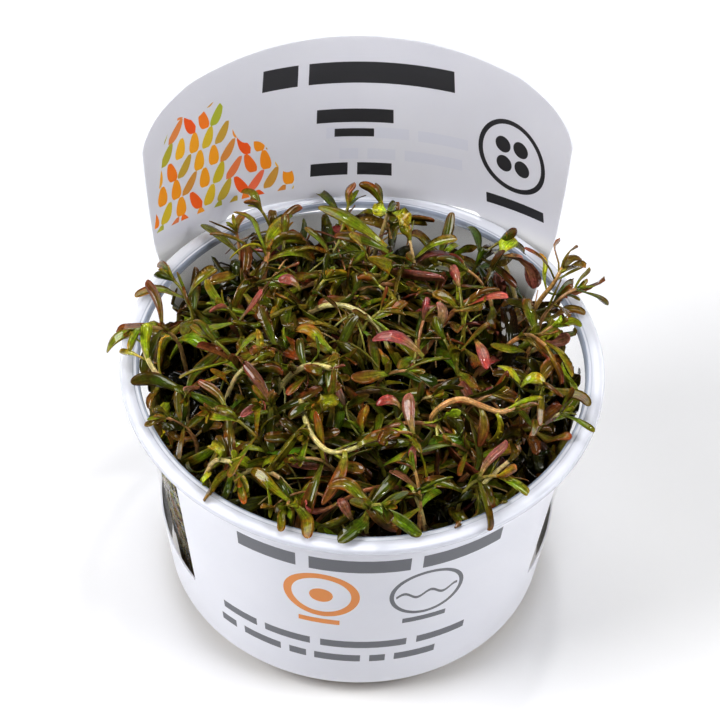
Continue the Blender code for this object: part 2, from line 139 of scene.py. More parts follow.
# One material's workbench. node() is the only way in for any other node: type, settings, then sockets.
class Shop:
    def __init__(self, name):
        self.material = bpy.data.materials.new(name)
        self.material.use_nodes = True
        self.tree = self.material.node_tree
        self.shader = self.tree.nodes["Principled BSDF"]

    def node(self, kind, settings=None, sockets=None, out=0):
        made = self.tree.nodes.new(kind)
        for key, value in (settings or {}).items():
            if key == "stops":
                ramp = made.color_ramp
                while len(ramp.elements) < len(value):
                    ramp.elements.new(0.5)
                for stop, (place, colour) in zip(ramp.elements, value):
                    stop.position = place
                    stop.color = (*colour, 1.0)
            elif key == "steps":
                made.color_ramp.interpolation = value
            else:
                setattr(made, key, value)
        for key, value in (sockets or {}).items():
            self.plug(made.inputs[key], value)
        return Value(self, made.outputs[out])

    def plug(self, socket, value):
        if isinstance(value, Value):
            self.tree.links.new(value.link, socket)
        elif isinstance(value, tuple) and len(value) == 3 and socket.type == "RGBA":
            socket.default_value = (*value, 1.0)
        else:
            socket.default_value = value

    # Sockets of the material's own shader, by their names in camelCase
    def set(self, **sockets):
        for key, value in sockets.items():
            words = "".join(" " + c if c.isupper() else c for c in key).strip()
            self.plug(self.shader.inputs[(words[0].upper() + words[1:]).replace("Ior", "IOR")], value)

    def blend(self, share, first, second, kind="MIX"):
        return self.node("ShaderNodeMix", dict(data_type="RGBA", blend_type=kind),
                         {0: share, 6: first, 7: second}, out=2)

    def multiply(self, share, first, second):
        return self.blend(share, first, second, "MULTIPLY")

    def place(self):
        return self.node("ShaderNodeTexCoord", out=3)

    def length(self, x, y):
        return (x * x + y * y) ** 0.5

    def split(self, vector):
        first = self.node("ShaderNodeSeparateXYZ", None, {0: vector})
        return [Value(self, socket) for socket in first.link.node.outputs]

    def mapPlace(self):
        return self.split(self.node("ShaderNodeUVMap", dict(uv_map="place")))[:2]

    def noise(self, scale, detail=3.0, rough=0.55, at=None):
        return self.node("ShaderNodeTexNoise", None,
                         {"Vector": at or self.place(), "Scale": scale, "Detail": detail, "Roughness": rough})

    def ramp(self, value, *stops):
        return self.node("ShaderNodeValToRGB", dict(stops=stops), {0: value})

    def step(self, value, low, high):
        return self.node("ShaderNodeMapRange", dict(interpolation_type="SMOOTHSTEP"),
                         {0: value, 1: low, 2: high})

    def bump(self, height, strength, distance):
        made = self.node("ShaderNodeBump", None,
                         {"Strength": strength, "Distance": distance, "Height": height})
        self.plug(self.shader.inputs["Normal"], made)


white = (1.0, 1.0, 1.0)
black = (0.0, 0.0, 0.0)


# Cup: one turned piece of clear plastic with a milky flange

cupSize = dict(
    rimTop=59.3 * mm, flange=47.5 * mm, flangeThick=1.0 * mm, lipDrop=0.4 * mm, lipThick=0.6 * mm,
    wallTop=44.3 * mm, wallBase=37.94 * mm, wall=0.8 * mm, wallSeen=0.55 * mm, corner=4.9 * mm,
)
plasticIor = 1.47


def cupOuter(z):
    c = cupSize
    return c["wallBase"] + (c["wallTop"] - c["wallBase"]) * z / (c["rimTop"] - c["flangeThick"])


def clearPlastic():
    shop = Shop("clearWall")
    haze = shop.noise(140.0)
    shop.set(BaseColor=(0.95, 0.97, 1.0), TransmissionWeight=1.0, Ior=plasticIor, SpecularIorLevel=0.2,
             Alpha=0.07, Roughness=shop.step(haze, 0.35, 0.75) * 0.05 + 0.06)
    shop.bump(shop.noise(900.0, 2.0), 0.05, 0.0002)
    return shop.material


# The rim's plastic scatters light. Painted shade darkens it blue-grey on the bead where the wall meets the
# flange and, less, in the groove outside it, both by the distance from the axis in mm.
def frostedPlastic():
    shop = Shop("frostedRim")
    haze = shop.noise(220.0)
    x, y, _ = shop.split(shop.place())
    out = shop.length(x, y) * 1000.0
    paintedBeadShade = 1 - shop.step(out, 44.25, 44.5)
    paintedGrooveShade = shop.step(out, 44.8, 44.9) * (1 - shop.step(out, 45.0, 45.15))
    colour = shop.blend(paintedBeadShade * 0.95 + paintedGrooveShade * 0.5, (0.80, 0.815, 0.88), (0.29, 0.33, 0.41))
    shop.set(BaseColor=colour, TransmissionWeight=0.36, Ior=plasticIor, Roughness=haze * 0.08 + 0.18)
    shop.bump(shop.noise(900.0, 2.0), 0.04, 0.0002)
    return shop.material


# Turned piece: each profile point (r, z) swept round the axis; a point on the axis closes its end.
def turned(name, profile, steps, looks, kindOf=None):
    profile = np.asarray(profile, float)
    a = np.linspace(0, fullTurn, steps, endpoint=False)
    middle = profile[1:-1]
    ring = np.stack([np.outer(middle[:, 0], np.cos(a)), np.outer(middle[:, 0], np.sin(a)),
                     np.repeat(middle[:, 1:2], steps, 1)], -1).reshape(-1, 3)
    points = np.concatenate([[(0, 0, profile[0, 1])], ring, [(0, 0, profile[-1, 1])]])
    k = np.arange(steps)
    n = (k + 1) % steps
    quads = ringQuads(len(middle), steps) + 1
    last = 1 + (len(middle) - 1) * steps
    tris = np.concatenate([np.stack([np.zeros_like(k), n + 1, k + 1], -1),
                           np.stack([np.full_like(k, len(points) - 1), last + k, last + n], -1)])
    kinds = None
    if kindOf is not None:
        kinds = kindOf(np.concatenate([points[quads][:, :, 2].mean(1), points[tris][:, :, 2].mean(1)]))
    return makeObject(name, points, quads, tris, looks, kinds=kinds)


# A corner of the profile as an arc: centre, radius and the turn from straight down to straight out.
def arcPoints(centre, radius, start, end, count):
    return [(centre[0] + radius * math.sin(t), centre[1] - radius * math.cos(t))
            for t in np.linspace(start, end, count)]


# The wall's lean and the centre of the arc at its foot
def cupCorner():
    c = cupSize
    lean = math.atan((c["wallTop"] - c["wallBase"]) / (c["rimTop"] - c["flangeThick"]))
    return math.pi / 2 - lean, (cupOuter(c["corner"]) - c["corner"] / math.cos(lean), c["corner"])


# The outline runs from the base's underside up the wall, round the flange and its lip, and back down inside.
def buildCup():
    c = cupSize
    turn, mid = cupCorner()
    under = c["rimTop"] - c["flangeThick"]
    top = c["rimTop"]
    edge = c["flange"]
    lip = edge - c["lipThick"]
    wall = c["wallTop"]
    seen = c["wallSeen"]
    profile = [(0.0, 0.35 * mm), (26.0 * mm, 0.35 * mm), (27.0 * mm, 0.0), (30.5 * mm, 0.0)]
    profile += arcPoints(mid, c["corner"], 0.0, turn, 12)
    profile += [(cupOuter(z), z) for z in np.linspace(8 * mm, under - 0.6 * mm, 8)]
    profile += [(wall + 0.12 * mm, under - 0.2 * mm), (wall + 0.5 * mm, under), (lip - 0.2 * mm, under),
                (lip, under - 0.15 * mm), (lip + 0.05 * mm, under - c["lipDrop"]),
                (edge - 0.1 * mm, under - c["lipDrop"]), (edge, under - c["lipDrop"] + 0.15 * mm),
                (edge, top - 0.35 * mm), (edge - 0.1 * mm, top - 0.1 * mm), (edge - 0.35 * mm, top)]
    profile += [(wall + r * mm, top - drop * mm) for r, drop in
                [(0.9, 0.0), (0.62, 0.28), (0.35, 0.22), (0.05, 0.0), (-0.25, 0.08), (-0.5, 0.4)]]
    profile += [(cupOuter(z) - seen, z) for z in np.linspace(top - 1.3 * mm, 8 * mm, 9)]
    profile += arcPoints(mid, c["corner"] - seen, turn, 0.0, 10)
    profile += [(28.0 * mm, seen + 0.1 * mm), (0.0, seen + 0.35 * mm)]
    made = turned("cup_clear", profile, 160, [clearPlastic(), frostedPlastic()],
                  lambda height: (height > under - 0.3 * mm).astype(int))
    settle(made, "cup")


# Gel block

gelTop = 15.0 * mm


def gelLook():
    shop = Shop("nutrientGel")
    cloud = shop.noise(90.0, 4.0)
    shop.set(BaseColor=shop.ramp(cloud, (0.3, (0.30, 0.17, 0.06)), (0.7, (0.45, 0.30, 0.13))),
             TransmissionWeight=0.5, Ior=1.34, Roughness=cloud * 0.2 + 0.1)
    return shop.material


def buildGel():
    c = cupSize
    turn, mid = cupCorner()
    edge = cupOuter(gelTop) - c["wall"] - 0.15 * mm
    profile = [(0.0, 1.3 * mm), (28.0 * mm, 1.1 * mm)]
    profile += arcPoints(mid, c["corner"] - c["wall"] - 0.2 * mm, 0.0, turn, 8)
    profile += [(edge, gelTop), (edge - 0.5 * mm, gelTop - 0.3 * mm), (edge - 2 * mm, gelTop - 0.8 * mm),
                (0.0, gelTop - 1.0 * mm)]
    settle(turned("gel_block", profile, 96, [gelLook()]), "nutrient_gel")


# Sleeve: one sheet, drawn flat and bent round the cup. Arcs are in metres on the sheet, turns in degrees.

sheetSize = dict(
    gap=0.3 * mm, thick=0.4 * mm, solidThick=0.5 * mm, low=5.2 * mm, turn=math.radians(4.6), panelHalf=55.6,
    panelTop=58.0 * mm, windowLow=18.5 * mm, windowRise=4.0 * mm, windowCorner=2.5 * mm, frontCorner=0.8 * mm,
    bend=66.8 * mm, bendChange=-0.215, back=45.6 * mm, lean=0.25, height=32.6 * mm, crown=3.5 * mm,
    halfLow=40.0 * mm, halfRim=44.3 * mm, halfTop=53.9 * mm, cornerX=13.2 * mm, cornerZ=8.9 * mm,
    slotHalf=27.6 * mm, slotLow=55.9 * mm, slotTop=59.7 * mm, arcScale=44.6 * mm,
)
halfAround = round(math.pi * sheetSize["arcScale"] / mm, 3)  # mm along the flat sheet
printInk = dict(dark=(0.030, 0.030, 0.036), grey=(0.105, 0.110, 0.130), orange=(0.72, 0.24, 0.015),
                ghost=(0.56, 0.57, 0.66))


# A printed line as plain bars: (from, to) in mm along the line, the line's middle height and half height. A
# ramp with hard steps holds the bars' ends.
def barRow(shop, along, height, bars, middle, tall):
    low, high = bars[0][0] - 1.0, bars[-1][1] + 1.0
    stops = [(0.0, black)]
    for start, end in bars:
        stops += [((start - low) / (high - low), white), ((end - low) / (high - low), black)]
    share = shop.node("ShaderNodeMapRange", None, {0: along, 1: low, 2: high})
    return shop.node("ShaderNodeValToRGB", dict(steps="CONSTANT", stops=stops),
                     {0: share}) * (abs(height - middle) < tall)


def ringMark(shop, x, y, radius, line):
    return abs(shop.length(x, y) - radius) < line * 0.5


def discMark(shop, x, y, radius):
    return shop.length(x, y) < radius


# A thin white film that lets some light through
def sheetBase(shop, low=(0.69, 0.70, 0.78), high=(0.75, 0.755, 0.83)):
    fine = shop.noise(2600.0, 2.0)
    wide = shop.noise(60.0)
    shop.set(Roughness=fine * 0.12 + 0.34, CoatWeight=0.25, CoatRoughness=0.25, SubsurfaceWeight=0.7,
             SubsurfaceRadius=(1.0, 1.0, 1.0), SubsurfaceScale=0.0012)
    shop.bump(fine, 0.06, 0.0001)
    return shop.blend(wide, low, high)


# Front panel: title bars, an orange ring with a dot, a grey ring with a wave, and two rows of small bars
def outerSheet():
    shop = Shop("sleevePrinted")
    colour = sheetBase(shop)
    u, v = shop.mapPlace()
    flat = u * 100.0
    x = flat - (flat > halfAround) * (2 * halfAround)
    z = v * 100.0
    title = barRow(shop, x, z, [(-27.0, -14.8), (-12.2, 7.2), (9.6, 26.6)], 50.0, 2.1)
    small = barRow(shop, x, z, [(-33.5, -24.8), (-22.6, -12.4), (-10.2, 8.6), (10.8, 22.0)], 20.6, 1.25)
    small2 = barRow(shop, x, z,
                    [(-34.5, -30.5), (-28.4, -19.2), (-17.2, -13.4), (-11.4, -1.4), (0.6, 4.2), (6.2, 15.4)],
                    15.2, 1.25)
    caption = barRow(shop, x, z, [(-14.6, -6.0), (7.0, 16.4)], 28.9, 0.85)
    ring = ringMark(shop, x + 9.8, z - 38.6, 6.9, 1.7) + discMark(shop, x + 9.8, z - 38.6, 2.4)
    wave = (x * 1.15).sine()
    grey = ringMark(shop, x - 11.6, z - 38.6, 7.3, 0.9)
    grey = grey + (abs(z - 38.2 - wave * 0.9) < 0.45) * discMark(shop, x - 11.6, z - 38.6, 6.4)
    colour = shop.blend(title + grey + caption * (x > 0.0) + small + small2, colour, printInk["grey"])
    shop.set(BaseColor=shop.blend(ring + caption * (x < 0.0), colour, printInk["orange"]))
    return shop.material


# Tag: title bars, short bars below, rows of plain oval leaves in warm colours, a ring with four discs, and
# the faint show-through of the other side's print, on a film painted greyer than the front panel's: painted
# shade. Below the rim the film is bare, painted lighter just under the rim (painted light) and dark olive low
# down, where it lies behind the wet plants (painted shade).
def innerSheet():
    shop = Shop("tagPrinted")
    # The film here is greyer than on the front panel: painted shade.
    colour = sheetBase(shop, (0.61, 0.61, 0.67), (0.67, 0.67, 0.72))
    u, v = shop.mapPlace()
    x = halfAround - u * 100.0
    z = v * 100.0 - cupSize["rimTop"] / mm
    # Just under the rim the film is painted lighter, painted light; low down it is painted dark olive,
    # painted shade.
    paintedFilmShading = shop.blend(shop.step(z, -17.0, -9.0), (0.075, 0.062, 0.030), (0.84, 0.84, 0.84))
    colour = shop.blend(shop.step(z, -4.0, 2.0), paintedFilmShading, colour)
    ghost = barRow(shop, x, z, [(-6.0, 2.5), (4.5, 12.0), (14.0, 25.0)], 15.0, 1.2)
    ghost = ghost + barRow(shop, x, z, [(-3.0, 1.0), (3.0, 9.0), (11.0, 23.5)], 10.2, 1.2)
    colour = shop.blend(ghost * 0.45, colour, printInk["ghost"])
    title = barRow(shop, x, z, [(-21.0, -12.8), (-10.4, 22.4)], 28.3, 2.3)
    lines = barRow(shop, x, z, [(-8.2, 8.6)], 18.8, 1.5) + barRow(shop, x, z, [(-4.2, 4.4)], 15.0, 0.9)
    lines = lines + barRow(shop, x, z, [(-9.2, -1.2), (0.8, 8.2)], 6.8, 1.4)
    mark = ringMark(shop, x - 35.4, z - 15.6, 7.4, 1.0) + barRow(shop, x, z, [(28.8, 42.0)], 4.6, 1.1)
    discs = discMark(shop, abs(x - 35.4) - 2.1, abs(z - 15.6) - 2.1, 1.75)
    colour = shop.blend(title + lines + mark + discs, colour, printInk["dark"])
    leaves, tone = leafRows(shop, x, z)
    shop.set(BaseColor=shop.blend(leaves, colour, tone))
    return shop.material


# Rows of oval leaves: cells of 3.5 by 4.4 mm, every other row shifted, each leaf an ellipse that narrows to
# one end and leans by its cell's chance; a hill line above and straight edges bound the patch.
def leafRows(shop, x, z):
    wide, tall = 3.5, 4.4
    row = (z / tall).floor()
    along = x / wide + row * 0.5
    column = along.floor()
    chance = shop.node("ShaderNodeTexWhiteNoise", dict(noise_dimensions="1D"),
                       {"W": column * 7.31 + row * 3.77})
    px = (along - column - 0.5) * wide
    pz = z - (row + 0.5) * tall
    qx = px - pz * ((chance - 0.5) * 2.4) * 0.5
    leaf = shop.length(qx * (1.0 + pz * 0.14) / 1.15, pz / 2.35) < 1.0
    hill = 14.0 + ((x + 49.0) * 0.13).sine() * 9.0 + (x * 0.55).sine() * 2.0
    patch = (x > -45.0) * (x < -12.6) * (z > 3.2) * ((z - hill) < 4.0)
    tone = shop.ramp(chance, (0.0, (0.80, 0.13, 0.02)), (0.3, (0.85, 0.30, 0.02)), (0.55, (0.80, 0.50, 0.03)),
                     (0.75, (0.42, 0.45, 0.04)), (1.0, (0.80, 0.20, 0.10)))
    return leaf * patch, tone


# Place on the sleeve's middle surface for arrays of turn (degrees from the front) and height. Low down it is
# the cup's cone; behind, from the windows' foot up, straight lines run to the tag's flatter arc.
def sheetPlaces(turn, z):
    s = sheetSize
    rim = cupSize["rimTop"]
    off = s["gap"] + 0.5 * s["solidThick"]
    flat = cupOuter(z) + off
    a = np.radians(turn)
    cone = np.stack([flat * np.sin(a), -flat * np.cos(a), z], -1)
    back = np.radians(180.0 - turn)
    low = s["windowLow"] - 2.0 * mm
    over = np.maximum(z - rim, 0.0)
    bend = s["bend"] + s["bendChange"] * over
    b = back * s["arcScale"] / s["bend"]
    tag = np.stack([bend * np.sin(b), s["back"] + s["lean"] * over - bend * (1 - np.cos(b)),
                    np.maximum(z, rim)], -1)
    foot = cupOuter(low) + off
    start = np.stack([foot * np.sin(back), foot * np.cos(back), np.full_like(z, low)], -1)
    rise = start + (tag - start) * np.clip((z - low) / (rim - low), 0.0, 1.0)[..., None]
    behind = (np.abs(180.0 - turn) <= 75.0) & (z > low)
    return np.where(behind[..., None], rise, cone)


def tagHalf(z):
    s = sheetSize
    over = z - cupSize["rimTop"]
    if over >= 0:
        return s["halfRim"] + (s["halfTop"] - s["halfRim"]) * over / s["height"]
    return s["halfRim"] + (s["halfRim"] - s["halfLow"]) * over / (cupSize["rimTop"] - s["windowLow"])


def turnOf(arc):
    return 180.0 - math.degrees(arc / sheetSize["arcScale"])


# The sleeve's upper edge on the flat sheet, from the front centre round to the middle of the tag.
def halfEdge():
    s = sheetSize
    top = cupSize["rimTop"] + s["height"]
    wide = math.degrees(s["windowCorner"] / s["arcScale"])
    narrow = math.degrees(s["frontCorner"] / s["arcScale"])
    low = s["windowLow"]
    foot = low + s["windowRise"]
    panel = s["panelHalf"]
    line = [(t, s["panelTop"]) for t in np.linspace(0.0, panel - 1.5, 22)]
    line += [(panel - 0.5, s["panelTop"] - 0.4 * mm), (panel, s["panelTop"] - 1.5 * mm)]
    line += [(panel, z) for z in np.linspace(54.0 * mm, low + s["frontCorner"], 16)]
    line += [(panel + narrow * (1 - math.cos(a)), low + s["frontCorner"] * (1 - math.sin(a)))
             for a in np.linspace(0, math.pi / 2, 5)[1:]]
    first = panel + narrow
    last = turnOf(tagHalf(foot + s["windowCorner"]))
    line += [(t, low + s["windowRise"] * (t - first) / (last - first))
             for t in np.linspace(first, last - wide, 26)[1:]]
    line += [(last - wide * (1 - math.sin(a)), foot + s["windowCorner"] * (1 - math.cos(a)))
             for a in np.linspace(0, math.pi / 2, 8)[1:]]
    line += [(turnOf(tagHalf(z)), z)
             for z in np.linspace(foot + s["windowCorner"] + 3 * mm, top - s["cornerZ"], 28)]
    centre = tagHalf(top - s["cornerZ"]) - s["cornerX"]

    def crown(arc):
        return s["crown"] * max(0.0, 1 - (arc / s["halfRim"]) ** 2)

    for a in np.linspace(0, math.pi / 2, 16)[1:]:
        arc = centre + s["cornerX"] * math.cos(a)
        line.append((turnOf(arc),
                     top - s["cornerZ"] * (1 - math.sin(a)) + crown(arc) * max(0.0, math.sin(a)) ** 6))
    return line + [(turnOf(arc), top + crown(arc)) for arc in np.linspace(centre, 0.0, 22)[1:]]


# The slot that the flange pokes through: two straight runs and two half circles
def slotEdge():
    s = sheetSize
    mid = 0.5 * (s["slotLow"] + s["slotTop"])
    r = 0.5 * (s["slotTop"] - s["slotLow"])
    reach = s["slotHalf"] - r
    bows = np.linspace(0, math.pi, 9)[1:-1]
    loop = [(arc, s["slotLow"]) for arc in np.linspace(-reach, reach, 30)]
    loop += [(reach + r * math.sin(a), mid - r * math.cos(a)) for a in bows]
    loop += [(arc, s["slotTop"]) for arc in np.linspace(reach, -reach, 30)]
    loop += [(-reach - r * math.sin(a), mid + r * math.cos(a)) for a in bows]
    return [(turnOf(arc), z) for arc, z in loop]


# Which of the points (n, 2) lie inside a closed line: an odd count of edges crossed on the way right.
def insideLoop(loop, points):
    a = np.asarray(loop)
    b = np.roll(a, -1, 0)
    px, py = points[:, 0:1], points[:, 1:2]
    span = (a[:, 1] > py) != (b[:, 1] > py)
    dy = np.where(np.abs(b[:, 1] - a[:, 1]) < 1e-15, 1e-15, b[:, 1] - a[:, 1])
    cross = px < a[:, 0] + (b[:, 0] - a[:, 0]) * (py - a[:, 1]) / dy
    return (span & cross).sum(1) % 2 == 1


# The sheet is cut flat (turn and height), filled with triangles, then both faces are laid on the curved
# surface half a thickness either way along its normal, with a wall round every cut edge.
def buildSleeve():
    s = sheetSize
    half = halfEdge()
    upper = half + [(360.0 - t, z) for t, z in half[-2::-1]]
    side = list(np.linspace(s["low"], s["panelTop"], 16)[1:-1])
    low = [(t, s["low"]) for t in np.linspace(360.0, 0.0, 145)]
    loop = upper + [(360.0, z) for z in side[::-1]] + low + [(0.0, z) for z in side]
    scale = s["arcScale"] * math.radians(1.0)
    edge = np.array([(t * scale, z) for t, z in loop + slotEdge()])
    outer, hole = edge[:len(loop)], edge[len(loop):]
    cell = 3.6 * mm
    grid = np.array([(t * scale, z) for t in np.arange(3.0, 360.0, 3.0)
                     for z in np.arange(s["low"] + cell, 97 * mm, cell)])
    near = np.min(np.linalg.norm(grid[:, None] - edge[None], axis=-1), axis=1)
    grid = grid[(near > 1.1 * mm) & insideLoop(outer, grid) & ~insideLoop(hole, grid)]
    links = [(k, (k + 1) % len(outer)) for k in range(len(outer))]
    links += [(len(outer) + k, len(outer) + (k + 1) % len(hole)) for k in range(len(hole))]
    flat, _, tris, *_ = delaunay_2d_cdt([Vector(p) for p in np.concatenate([edge, grid])], links, [], 0, 1e-9)
    flat = np.array([tuple(p) for p in flat])
    tris = np.array([tuple(t) for t in tris])
    heart = flat[tris].mean(1)
    tris = tris[insideLoop(outer, heart) & ~insideLoop(hole, heart)]
    turn = flat[:, 0] / scale
    z = flat[:, 1]
    here = sheetPlaces(turn, z)
    across = sheetPlaces(turn + 0.2, z) - sheetPlaces(turn - 0.2, z)
    along = sheetPlaces(turn, z + 0.1 * mm) - sheetPlaces(turn, z - 0.1 * mm)
    normal = unit(np.cross(across, along))
    points = np.concatenate([here + normal * 0.5 * s["thick"], here - normal * 0.5 * s["thick"]])
    cs, sn = math.cos(s["turn"]), math.sin(s["turn"])
    points = np.stack([points[:, 0] * cs - points[:, 1] * sn, points[:, 0] * sn + points[:, 1] * cs,
                       points[:, 2]], -1)
    count = len(flat)
    known = set(map(tuple, np.concatenate([tris[:, [0, 1]], tris[:, [1, 2]], tris[:, [2, 0]]]).tolist()))
    width = 360.0 * scale
    rim = [(a, b) for a, b in known if (b, a) not in known
           and not (flat[a, 0] < 1e-7 and flat[b, 0] < 1e-7)
           and not (flat[a, 0] > width - 1e-7 and flat[b, 0] > width - 1e-7)]
    rim = np.array(sorted(rim))
    quads = np.stack([rim[:, 1], rim[:, 0], rim[:, 0] + count, rim[:, 1] + count], -1)
    uv = np.concatenate([np.stack([flat[:, 0] / mm / 100, z / mm / 100], -1)] * 2)
    kinds = np.concatenate([np.zeros(len(quads) + len(tris)), np.ones(len(tris))])
    made = makeObject("sleeve_sheet", points, quads, np.concatenate([tris, tris[:, ::-1] + count]),
                      [outerSheet(), innerSheet()], uv=uv, kinds=kinds)
    work = bmesh.new()
    work.from_mesh(made.data)
    bmesh.ops.remove_doubles(work, verts=work.verts, dist=1e-6)
    bmesh.ops.delete(work, geom=[v for v in work.verts if not v.link_faces], context="VERTS")
    bmesh.ops.recalc_face_normals(work, faces=work.faces)
    work.to_mesh(made.data)
    work.free()
    made.data.set_sharp_from_angle(angle=math.radians(40))
    settle(made, "sleeve")


# Plants: blades and stems as arrays, then shoots, then crowds of shoots

# Leaf and stem surface: the tint attribute gives the colour, streaks run along each blade, blotches and
# specks mottle it, and a wet film covers it; wet is the film's share.
def plantLook(name, blade, wet=1.0):
    shop = Shop(name)
    tint = shop.node("ShaderNodeAttribute", dict(attribute_name="tint"))
    u, v = shop.mapPlace()
    blotch = shop.noise(330.0)
    speck = shop.noise(1500.0)
    stretch = shop.node("ShaderNodeCombineXYZ", None, {0: u * 9.0, 1: v * 1.4, 2: blotch * 2.0})
    streak = shop.noise(1.6, 3.0, 0.6, at=stretch)
    fine = shop.noise(1800.0)
    colour = shop.multiply(1.0, tint,
                           shop.ramp(streak, (0.28, (0.50, 0.42, 0.36)), (0.5, white),
                                     (0.72, (1.5, 1.45, 1.2))))
    colour = shop.multiply(0.85 if blade else 0.35, colour,
                           shop.ramp(blotch, (0.33, (1.28, 0.68, 0.75)), (0.46, white),
                                     (0.64, (0.84, 1.08, 0.75))))
    colour = shop.multiply(0.9, colour,
                           shop.ramp(speck, (0.35, (0.7, 0.68, 0.66)), (0.5, white),
                                     (0.68, (1.4, 1.35, 1.2))))
    height = streak * 0.6 + fine * 0.2 + shop.noise(700.0, 2.0) * 0.8
    if blade:
        rib = 1 - shop.step(abs(u - 0.5), 0.015, 0.06)
        colour = shop.multiply(rib * 0.5, colour, (1.6, 1.6, 1.3))
        height = height - rib * 0.6
    shop.set(BaseColor=colour, Roughness=fine * 0.2 + 0.28, SpecularIorLevel=0.03, CoatWeight=wet,
             CoatRoughness=0.07, CoatIor=1.42)
    shop.bump(height, 0.6, 0.00022)
    return shop.material


# Stations along a blade, closer together near the blunt tip
def bladeSteps(count):
    return 1 - (1 - np.linspace(0, 1, count)) ** 1.75


bladePlace = np.array([-1.0, -0.55, 0.0, 0.55, 1.0, 0.0])  # six points round a blade, across
bladeLift = np.array([1.0, 0.3, 0.0, 0.3, 1.0, 0.0])  # how far the fold raises each
bladeSlab = np.array([0.0, 0.5, 0.25, 0.5, 0.0, -0.6])  # and the blade's own thickness


# Closed leaf blades as arrays along given midlines (n, stations, 3), the last point being the tip.
# Half the width at t is breadth/2 * (0.36 + 0.64*s) * sqrt(1 - t^blunt), where s rises smoothly from 0 at the
# foot to 1 at t = 0.6; the six-point section is a shallow fold with a groove above and a rib below.
def leafArrays(mid, wide, up, breadth, blunt, fold, twist, thick):
    n, stations = mid.shape[:2]
    t = bladeSteps(stations)[None, :-1, None]
    ahead = unit(np.gradient(mid, axis=1))[:, :-1]
    side = unit(wide[:, None] - ahead * np.sum(ahead * wide[:, None], -1, keepdims=True))
    over = np.cross(ahead, side)
    side = side * np.where(np.sum(over[:, 0] * up, -1) < 0, -1.0, 1.0)[:, None, None]
    over = np.cross(ahead, side)
    spin = twist[:, None, None] * t
    side, over = side * np.cos(spin) + over * np.sin(spin), over * np.cos(spin) - side * np.sin(spin)
    rise = np.clip(t / 0.6, 0.0, 1.0)
    half = (0.5 * breadth[:, None, None] * (0.36 + 0.64 * rise * rise * (3 - 2 * rise))
            * np.sqrt(1 - t ** blunt[:, None, None]))
    swell = thick * (0.5 + 0.5 * (1 - t))
    points = (mid[:, :-1, None] + side[:, :, None] * (half * bladePlace)[..., None]
              + over[:, :, None] * (half * fold[:, None, None] * bladeLift + swell * bladeSlab)[..., None])
    points = np.concatenate([points.reshape(n, -1, 3), mid[:, -1:]], 1)
    ring = np.arange(6)
    last = (stations - 2) * 6
    cap = np.stack([last + ring, np.full(6, last + 6), last + (ring + 1) % 6], -1)
    tris = np.concatenate([cap, [(0, 1, 5), (1, 2, 5), (2, 3, 5), (3, 4, 5)]])
    uv = np.stack([np.tile(0.5 + 0.5 * bladePlace, stations - 1),
                   np.repeat(bladeSteps(stations)[:-1], 6)], -1)
    return copies(points, ringQuads(stations - 1, 6)[:, [0, 3, 2, 1]], tris,
                  np.concatenate([uv, [(0.5, 1.0)]]))


# Closed stems as arrays: a ring of points round each station of each path, the side vector carried
# along the path without twist, and a point past each end.
def stemArrays(path, radius, sides):
    n, stations = path.shape[:2]
    ahead = unit(np.gradient(path, axis=1))
    side = unit(np.cross(ahead[:, 0], np.where(np.abs(ahead[:, 0, 2:3]) > 0.8, [[1.0, 0, 0]], [[0, 0, 1.0]])))
    carried = []
    for k in range(stations):
        side = unit(side - ahead[:, k] * np.sum(side * ahead[:, k], -1, keepdims=True))
        carried.append(side)
    side = np.stack(carried, 1)
    other = np.cross(ahead, side)
    a = np.arange(sides) * fullTurn / sides
    ring = (path[:, :, None]
            + (side[:, :, None] * np.cos(a)[:, None] + other[:, :, None] * np.sin(a)[:, None])
            * radius[:, :, None, None])
    first = path[:, 0] - ahead[:, 0] * radius[:, :1] * 0.6
    end = path[:, -1] + ahead[:, -1] * radius[:, -1:] * 1.2
    points = np.concatenate([ring.reshape(n, -1, 3), first[:, None], end[:, None]], 1)
    per = points.shape[1]
    j = np.arange(sides)
    q = (j + 1) % sides
    last = (stations - 1) * sides
    tris = np.concatenate([np.stack([np.full(sides, per - 2), q, j], -1),
                           np.stack([np.full(sides, per - 1), last + j, last + q], -1)])
    uv = np.stack([np.tile(j / sides, stations), np.repeat(np.linspace(0, 1, stations), sides)], -1)
    return copies(points, ringQuads(stations, sides), tris, np.concatenate([uv, [(0.5, 0.0), (0.5, 1.0)]]))


# Points beyond the inner wall below the rim are pressed back onto it.
def keepInside(points, clear):
    r = np.hypot(points[:, 0], points[:, 1])
    wall = cupOuter(points[:, 2]) - cupSize["wallSeen"] - clear
    held = (points[:, 2] < cupSize["rimTop"] + 0.2 * mm) & (r > wall)
    shrink = np.where(held, wall / np.maximum(r, 1e-9), 1.0)
    points[:, 0] *= shrink
    points[:, 1] *= shrink
    points[:, 2] = np.maximum(points[:, 2], gelTop - 2 * mm)
    return points


# Leaf colours, linear: how often, along the middle, at the edges and tip
leafTints = [
    (0.30, (0.098, 0.126, 0.006), (0.190, 0.062, 0.014)),
    (0.21, (0.046, 0.076, 0.004), (0.120, 0.042, 0.010)),
    (0.27, (0.165, 0.215, 0.010), (0.250, 0.115, 0.018)),
    (0.06, (0.300, 0.350, 0.020), (0.300, 0.260, 0.018)),
    (0.09, (0.120, 0.084, 0.010), (0.195, 0.048, 0.018)),
    (0.06, (0.230, 0.090, 0.062), (0.330, 0.080, 0.080)),
    (0.04, (0.125, 0.052, 0.018), (0.170, 0.040, 0.022)),
]
paleFoot = np.array([0.30, 0.31, 0.045])
stemTints = [(0.290, 0.270, 0.065), (0.470, 0.390, 0.180), (0.400, 0.230, 0.100), (0.180, 0.160, 0.022),
             (0.250, 0.110, 0.050)]
stemShares = [0.3, 0.16, 0.16, 0.24, 0.14]


def pickTone(rng, n):
    share = np.array([c[0] for c in leafTints])
    return rng.choice(len(leafTints), n, p=share / share.sum())


